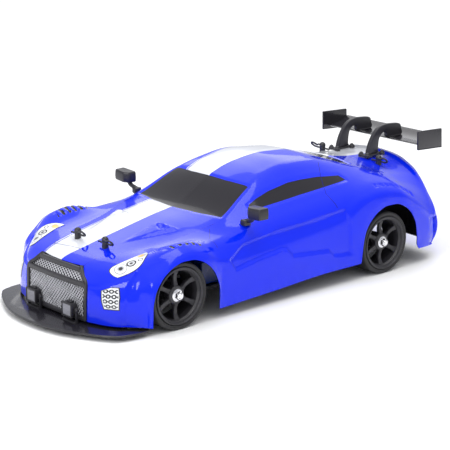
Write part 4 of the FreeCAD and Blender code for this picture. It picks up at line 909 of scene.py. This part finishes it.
STRUT = smooth_line([(-178.4, 97.6), (-179.6, 103.5), (-182.0, 110.0), (-185.4, 116.2), (-189.9, 121.9),
                     (-195.2, 125.4), (-201.5, 127.1), (-208.2, 127.5), (-222.5, 126.4), (-226.6, 124.6),
                     (-228.0, 121.0), (-228.2, 113.9), (-208.4, 113.4), (-206.0, 117.9), (-202.6, 119.7),
                     (-198.4, 117.9), (-195.4, 113.1), (-194.4, 106.0), (-194.2, 97.6)], 4, False)
STRUT_Y, BOLT_ROWS, BOLT_SPREAD = 21.5, (-175.9, -197.0), 4.4
struts, heads = [], []
for strut_y in (STRUT_Y, -STRUT_Y):
    struts += [plate(STRUT, strut_y - 2.1, strut_y + 2.1, 0.8, (0, 2, 1)),
               block((-199.0, strut_y - 4.2, 97.4), (-173.5, strut_y + 4.2, 99.4), 0.6, 2.0),
               block((-227.5, strut_y - 2.9, 113.2), (-209.0, strut_y + 2.9, 114.6), 0.4, 1.0)]
    for bolt_x in BOLT_ROWS:
        for bolt_y in (strut_y - BOLT_SPREAD, strut_y + BOLT_SPREAD):
            struts.append(lathe([(-1.9, 3.0), (0.4, 3.0), (0.8, 2.6)], (bolt_x, bolt_y, 99.2), (0, 0, 1), 20))
            heads.append(bolt((bolt_x, bolt_y, 100.0), (0, 0, 1), 2.2, 2.2))
new_piece("wing_swan_necks", joined(*struts), MOULDED, "chassis", "wing_struts", 40)
new_piece("wing_dome_bolts", joined(*heads), CASE, "chassis", "wing_bolts", 40)

# %% [markdown]
# ## Mirrors, clips and springs
#
# A mirror is a wedge-shaped housing on a bent arm. Its sections are one outline, scaled about its middle by a
# share that falls off near the top and the bottom, so the rims are round.

# %% Door mirrors
def door_mirror():
    """Foot, arm and wedge-shaped housing of the left mirror, with the glass on its rear face."""
    outline = rounded([(34.0, 86.4), (42.6, 86.6), (46.6, 92.2), (45.6, 106.6), (34.4, 107.2)], 1.4, 5)
    levels = np.array([85.4, 85.6, 86.4, 89.5, 93.5, 95.2, 95.9, 96.0])
    share = np.array([0.86, 0.92, 0.97, 1.0, 0.985, 0.95, 0.90, 0.84])
    middle = np.array([37.5, 97.0])
    flat = middle + (outline - middle) * share[:, None, None]
    tilt = levels[:, None] + 0.05 * (flat[..., 1] - 97.0)
    housing = closed(np.concatenate([flat, tilt[..., None]], -1))
    arm = swept(smooth_line([(38.5, 80.0, 78.0), (38.6, 82.2, 80.4), (38.8, 86.8, 81.6), (39.2, 90.0, 83.4),
                             (39.4, 92.0, 86.6)], 6), circle(2.1, 12), (1, 0, 0))
    foot = plate(rounded([(34.5, 77.4), (43.0, 76.6), (42.6, 83.6), (35.2, 84.4)], 2.0, 4), 76.0, 81.3, 0.8)
    glass = block((33.2, 88.6, 87.0), (34.2, 105.0, 94.6), 0.3, 1.4, (1, 2, 0))
    return joined(housing, arm, foot, glass)


left_mirror = door_mirror()
new_piece("door_mirror_pair", joined(left_mirror, mirrored(left_mirror)), MOULDED, "chassis", "door_mirrors",
          40)

# %% Body posts and their hairpin clips
POSTS = {"front_left": (154.1, 20.7, 72.7, 1), "front_right": (154.1, -20.7, 72.7, 1),
         "rear_left": (-177.1, 40.5, 101.0, 1), "rear_right": (-177.1, -40.5, 101.0, -1)}
HAIRPIN = [(-9.5, 0), (-5, 0), (0, 0), (5, 0.0), (9.0, 0.1), (12.3, 1.4), (13.5, 4.2), (11.6, 6.5),
           (8.6, 6.1), (6.3, 4.4), (4.2, 4.3), (2.2, 5.6)]
LEAN_X, LEAN_Z, HOLE_DROP = 0.62, 0.75, 5.0


def hairpin(corner, x, y, z, way):
    """A bent wire through a post, a little below its top, leaning away from the post's axis."""
    line = smooth_line([(x + LEAN_X * b, y + way * a, z - HOLE_DROP + LEAN_Z * b) for a, b in HAIRPIN], 5)
    tips = [lathe([(0, 0.95), (0.5, 0.75), (0.8, 0.3)], line[k], line[k] - line[k + step_in], 10)
            for k, step_in in ((0, 1), (-1, -1))]
    new_piece(f"{corner}_hairpin", joined(swept(line, circle(0.95, 10), (1, 0, 0)), *tips), CASE,
              f"{corner}_clip", f"{corner}_clip", 60)


for post, post_place in POSTS.items():
    hairpin(post, *post_place)

# %% [markdown]
# A spring is a wire bent round the shock's axis: p + h down + R (cos a side + sin a out), from its upper end
# by the chassis down towards the arm.

# %% Coil springs
def coil(top, low, radius=6.5, wire=0.6, turns=6, start=3.2, share=0.78, steps=20):
    """A helix from a little below the upper end to the seat, with a round wire."""
    top, low = np.array(top, float), np.array(low, float)
    down = unit(low - top)
    side = unit(np.cross(down, (1.0, 0, 0)))
    out = np.cross(down, side)
    height = np.linalg.norm(low - top) * share - start
    a = np.linspace(0, turns * 2 * math.pi, turns * steps + 1)[:, None]
    path = top + down * (start + height * a / a.max()) + radius * (np.cos(a) * side + np.sin(a) * out)
    return swept(path, circle(wire, 8), down), path[0], path[-1]


# The spring's two ends as (x, distance from the middle, height) at the front and at the rear.
SPRINGS = {"front": ((159.0, 26.0, 52.0), (159.0, 52.0, 21.0)),
           "rear": ((-159.0, 31.0, 66.0), (-159.0, 53.0, 21.0))}


def make_spring(corner, side):
    """One coil, from the chassis at its upper end towards the arm at its lower end."""
    upper, lower = (np.array(end) * (1, side, 1) for end in SPRINGS[corner.split("_")[0]])
    shape, first, last = coil(upper, lower)
    spring = new_object(f"{corner}_coil", shape, WIRE)
    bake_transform(spring)
    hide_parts(f"{corner}_spring")
    print(corner, "coil of", len(shape[0]), "points")


for spring_corner, corner_place in CORNERS.items():
    make_spring(spring_corner, corner_place[1])

# %% [markdown]
# The bumper block behind the nose is firm foam: its rims are well rounded and its ends slope back.

# %% Foam bumper
FOAM_OUTLINE = [(168, -46), (176, -50), (184, -42), (187, -22), (187, 22), (184, 42), (176, 50), (168, 46)]
foam = new_piece("foam_bumper_block", plate(rounded(FOAM_OUTLINE, 2.5, 5), 12.0, 40.0, 2.2), FOAM, "chassis",
                 "front_bumper_foam", 60)

# %% [markdown]
# ## Printed stickers
#
# Each sticker is a thin sheet that lies on the shell: the same surface, a fraction of a millimetre further
# out, between two boundary lines in (s, w). Its print is drawn as signed distances too: positive is ink.

# %% Sheets that lie on the shell
def label_sheet(s, low_w, high_w, count, side):
    """Rows along s, columns between two boundaries: a closed sheet, its points, and (s, w) on its top."""
    t = np.linspace(0, 1, count)[None, :]
    w = low_w[:, None] * (1 - t) + high_w[:, None] * t
    place = s[:, None] + 0 * w
    outer, _, normal, _, _ = shell_points(place, w)
    grid = both_faces(outer + SHEET_TOP * normal, outer + SHEET_UNDER * normal)
    shape = closed(grid)
    return (shape if side > 0 else mirrored(shape)), grid, place, w


def both_faces(top, under):
    """The sheet's upper face, then its lower face from the far side back."""
    return np.concatenate([top, under[:, ::-1]], axis=1)


def bounded(s, points):
    """A boundary's girth w at places s, read off a smooth line through its points."""
    line = smooth_line(points, 8)
    order = np.argsort(line[:, 0])
    return np.interp(s, line[order, 0], line[order, 1])


def sticker_finish(name):
    """White print stock with black ink and an amber spot, under a gloss film."""
    material = finish(name, (0.82, 0.84, 0.86), 0.2, coat=0.8, bump=0.01, swing=0.03)
    tone = part(material, "ShaderNodeMixRGB").outputs["Color"]
    for label, colour in (("grey", GREY_INK), ("ink", BLACK_INK), ("amber", AMBER_INK)):
        tone = over(material, tone, step(material, label, 0.1), colour)
    material.node_tree.links.new(tone, part(material, "ShaderNodeBsdfPrincipled").inputs["Base Color"])
    return material


SHEET_TOP, SHEET_UNDER = 0.32, 0.06
GREY_INK, BLACK_INK, AMBER_INK = (0.45, 0.46, 0.5), (0.012, 0.012, 0.016), (0.85, 0.50, 0.10)
PRINT = sticker_finish("printed_label")
print("labels lie", SHEET_UNDER, "to", SHEET_TOP, "mm above the shell")

# %% Headlight labels
def spot(grid, s, w):
    """Distance of the sheet's points from the shell's point (s, w)."""
    near = shell_surface(np.array([s]), np.array([w]))[0]
    return np.linalg.norm(grid - near, axis=-1)


LAMP_LOW = [(139.3, 2.77), (146, 2.81), (153.6, 2.84), (170.3, 2.83), (180, 2.84), (186.4, 2.92),
            (190.2, 3.09), (191.7, 3.30)]
LAMP_HIGH = [(139.3, 2.79), (141.0, 3.00), (146.2, 3.28), (156, 3.55), (167, 3.76), (176, 3.82),
             (183.5, 3.72), (188.6, 3.55), (191.7, 3.34)]
LAMP_SPOTS = ((180.2, 3.20), (169.0, 3.28), (161.0, 3.44), (150.2, 3.06))


def headlight_label(word, side):
    """Two round lamps, a small ring and an amber spot inside an inked rim."""
    s = np.linspace(191.6, 139.4, 170)
    low_w, high_w = bounded(s, LAMP_LOW), bounded(s, LAMP_HIGH)
    shape, grid, _, w = label_sheet(s, low_w, high_w, 80, side)
    big, middle, small, amber = (spot(grid, *at) for at in LAMP_SPOTS)
    rim = np.minimum(np.abs(w - low_w[:, None]) * 14, np.abs(w - high_w[:, None]) * 14)
    ink = np.max([2.0 - big, 0.22 - np.abs(big - 5.6), 1.4 - middle, 0.75 - np.abs(middle - 3.9),
                  0.35 - np.abs(small - 2.0), 0.55 - both_faces(rim, rim)], axis=0)
    grey = np.max([3.2 - big, 2.4 - middle, 0.7 - np.abs(amber - 3.3)], axis=0)
    new_piece(f"{word}_headlight_label", shape, PRINT, "chassis", sharp=60,
              values={"ink": ink, "grey": grey, "amber": 3.0 - amber})


# %% Bumper vent labels
CELL_WIDE, CELL_TALL, GIRTH_MM = 4.1, 3.9, 17


def vent_label(word, side):
    """Rows of rings joined by short bars, every other row moved by half a cell, inside an inked rim."""
    s = np.linspace(217.4, 199.2, 100)
    low_w = np.interp(s, [198.2, 202.6, 210.1, 217.5], [3.30, 2.71, 2.75, 2.84])
    high_w = np.interp(s, [198.2, 207.2, 217.3], [3.45, 3.54, 3.50])
    shape, _, place, w = label_sheet(s, low_w, high_w, 110, side)
    row = (place - 200.8) / CELL_TALL
    along = (w - 2.80) * GIRTH_MM / CELL_WIDE + 0.5 * (np.floor(row) % 2)
    dy, dz = (along - np.floor(along) - 0.5) * CELL_WIDE, (row - np.floor(row) - 0.5) * CELL_TALL
    ring = np.hypot(dy, dz * 1.1)
    pattern = np.maximum(0.50 - np.abs(ring - 1.30), np.where(ring > 1.4, 0.42 - np.abs(dz), -1))
    margin = np.minimum(np.minimum(w - low_w[:, None], high_w[:, None] - w) * GIRTH_MM,
                        np.minimum(place - 199.2, 217.4 - place))
    ink = np.maximum(np.minimum(pattern, margin - 1.3), 0.75 - margin)
    ink = both_faces(ink, ink)
    new_piece(f"{word}_vent_label", shape, PRINT, "chassis", sharp=60,
              values={"ink": ink, "grey": ink * 0 - 5, "amber": ink * 0 - 5})


for word, word_side in (("left", 1), ("right", -1)):
    headlight_label(word, word_side)
    vent_label(word, word_side)

# %% [markdown]
# ## Finishes on the parts that stay as they were packed
#
# Everything else inside the car keeps its exact shape and gets the finish of its own stuff.

# %% Finishes of the remaining parts
KEPT = {"chassis_plate": MOULDED, "gearboxes": MOULDED, "top_deck": MOULDED, "shock_towers": MOULDED,
        "shock_cylinders": ANODISED, "body_posts": MOULDED, "motor": CAN, "motor_mount": ANODISED,
        "battery_pack": WRAP, "battery_strap": MOULDED, "speed_controller": CASE, "receiver": CASE,
        "steering_servo": CASE, "servo_horn": MOULDED, "track_rod": MOULDED, "front_differential": STEEL,
        "rear_differential": STEEL, "centre_shaft": STEEL, "spur_gear": NYLON, "motor_pinion": BRASS}
for corner in CORNERS:
    for kind in ("arm", "carrier", "knuckle"):
        if f"{corner}_{kind}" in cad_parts:
            KEPT[f"{corner}_{kind}"] = MOULDED
for node, kept_finish in KEPT.items():
    for material_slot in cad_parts[node].material_slots:
        material_slot.material = kept_finish
print(len(KEPT), "packed parts finished")

# %% [markdown]
# ## Floor, light and camera
#
# A pale floor that fades into a bright room, one broad lamp above, a small one in front and one behind.
# Glossy paint shows mostly what it mirrors, so the flat tops pick up the lamp behind the car and turn paler,
# and the upright sides stay deep blue.

# %% Stage, lamps and camera
FLOOR_HALF = 6.0
ROOM_SHADES = ((0.0, (0.42, 0.43, 0.46)), (0.30, (0.50, 0.51, 0.55)), (1.0, (1.0, 1.0, 1.0)))
ROOM_STRENGTH = 1.15


def make_stage():
    """A large pale floor under the tyres, and a room that is brighter above than at eye level."""
    mesh = bpy.data.meshes.new("floor")
    corners = [(-1, -1), (1, -1), (1, 1), (-1, 1)]
    mesh.from_pydata([(FLOOR_HALF * a, FLOOR_HALF * b, cad_low.z) for a, b in corners], [], [(0, 1, 2, 3)])
    floor = bpy.data.objects.new("floor", mesh)
    bpy.context.scene.collection.objects.link(floor)
    pale = finish("pale_floor", (0.93, 0.93, 0.93), 0.7, bump=0.0, swing=0.01)
    mesh.materials.append(pale)
    world = bpy.data.worlds.new("room")
    bpy.context.scene.world = world
    world.use_nodes = True
    nodes, links = world.node_tree.nodes, world.node_tree.links
    place, parts, ramp = (add(nodes, kind) for kind in ("TexCoord", "SeparateXYZ", "ValToRGB"))
    links.new(place.outputs["Generated"], parts.inputs["Vector"])
    for at, shade in ROOM_SHADES:
        stop = ramp.color_ramp.elements.new(at)
        stop.color = (*shade, 1)
    ramp.color_ramp.elements.remove(ramp.color_ramp.elements[0])
    ramp.color_ramp.elements.remove(ramp.color_ramp.elements[-1])
    links.new(parts.outputs["Z"], ramp.inputs["Fac"])
    links.new(ramp.outputs["Color"], nodes["Background"].inputs["Color"])
    nodes["Background"].inputs["Strength"].default_value = ROOM_STRENGTH


def lamp(name, place, aim, size, power):
    """A square soft lamp that points at a place."""
    light = bpy.data.lights.new(name, "AREA")
    light.size, light.energy = size, power
    holder = bpy.data.objects.new(name, light)
    holder.location = place
    holder.rotation_euler = (Vector(aim) - Vector(place)).to_track_quat("-Z", "Y").to_euler()
    bpy.context.scene.collection.objects.link(holder)


make_stage()
lamp("overhead", (0.0, 0.2, 1.6), (0.0, 0.0, 0.05), 1.2, 13)
lamp("front_left", (1.5, 0.4, 0.9), (0.1, 0.0, 0.05), 0.5, 7)
lamp("behind", (-1.6, -1.8, 1.5), (-1.0, -1.1, 0.0), 1.6, 9)

VIEW_AZIMUTH, VIEW_ELEVATION = math.radians(138.869), math.radians(15.302)
AIM, DISTANCE, FOCAL_LENGTH = Vector((0.02280, 0.02540, 0.06060)), 1.55, 130.785
back = Vector((math.sin(VIEW_AZIMUTH) * math.cos(VIEW_ELEVATION),
               -math.cos(VIEW_AZIMUTH) * math.cos(VIEW_ELEVATION), math.sin(VIEW_ELEVATION)))
camera = bpy.data.objects.new("camera", bpy.data.cameras.new("camera"))
camera.data.lens = FOCAL_LENGTH
camera.location = AIM + back * DISTANCE
camera.rotation_euler = (-back).to_track_quat("-Z", "Y").to_euler()
bpy.context.scene.collection.objects.link(camera)
bpy.context.scene.camera = camera
bpy.context.scene.view_settings.view_transform = "Standard"
print("camera at", [round(v, 3) for v in camera.location])
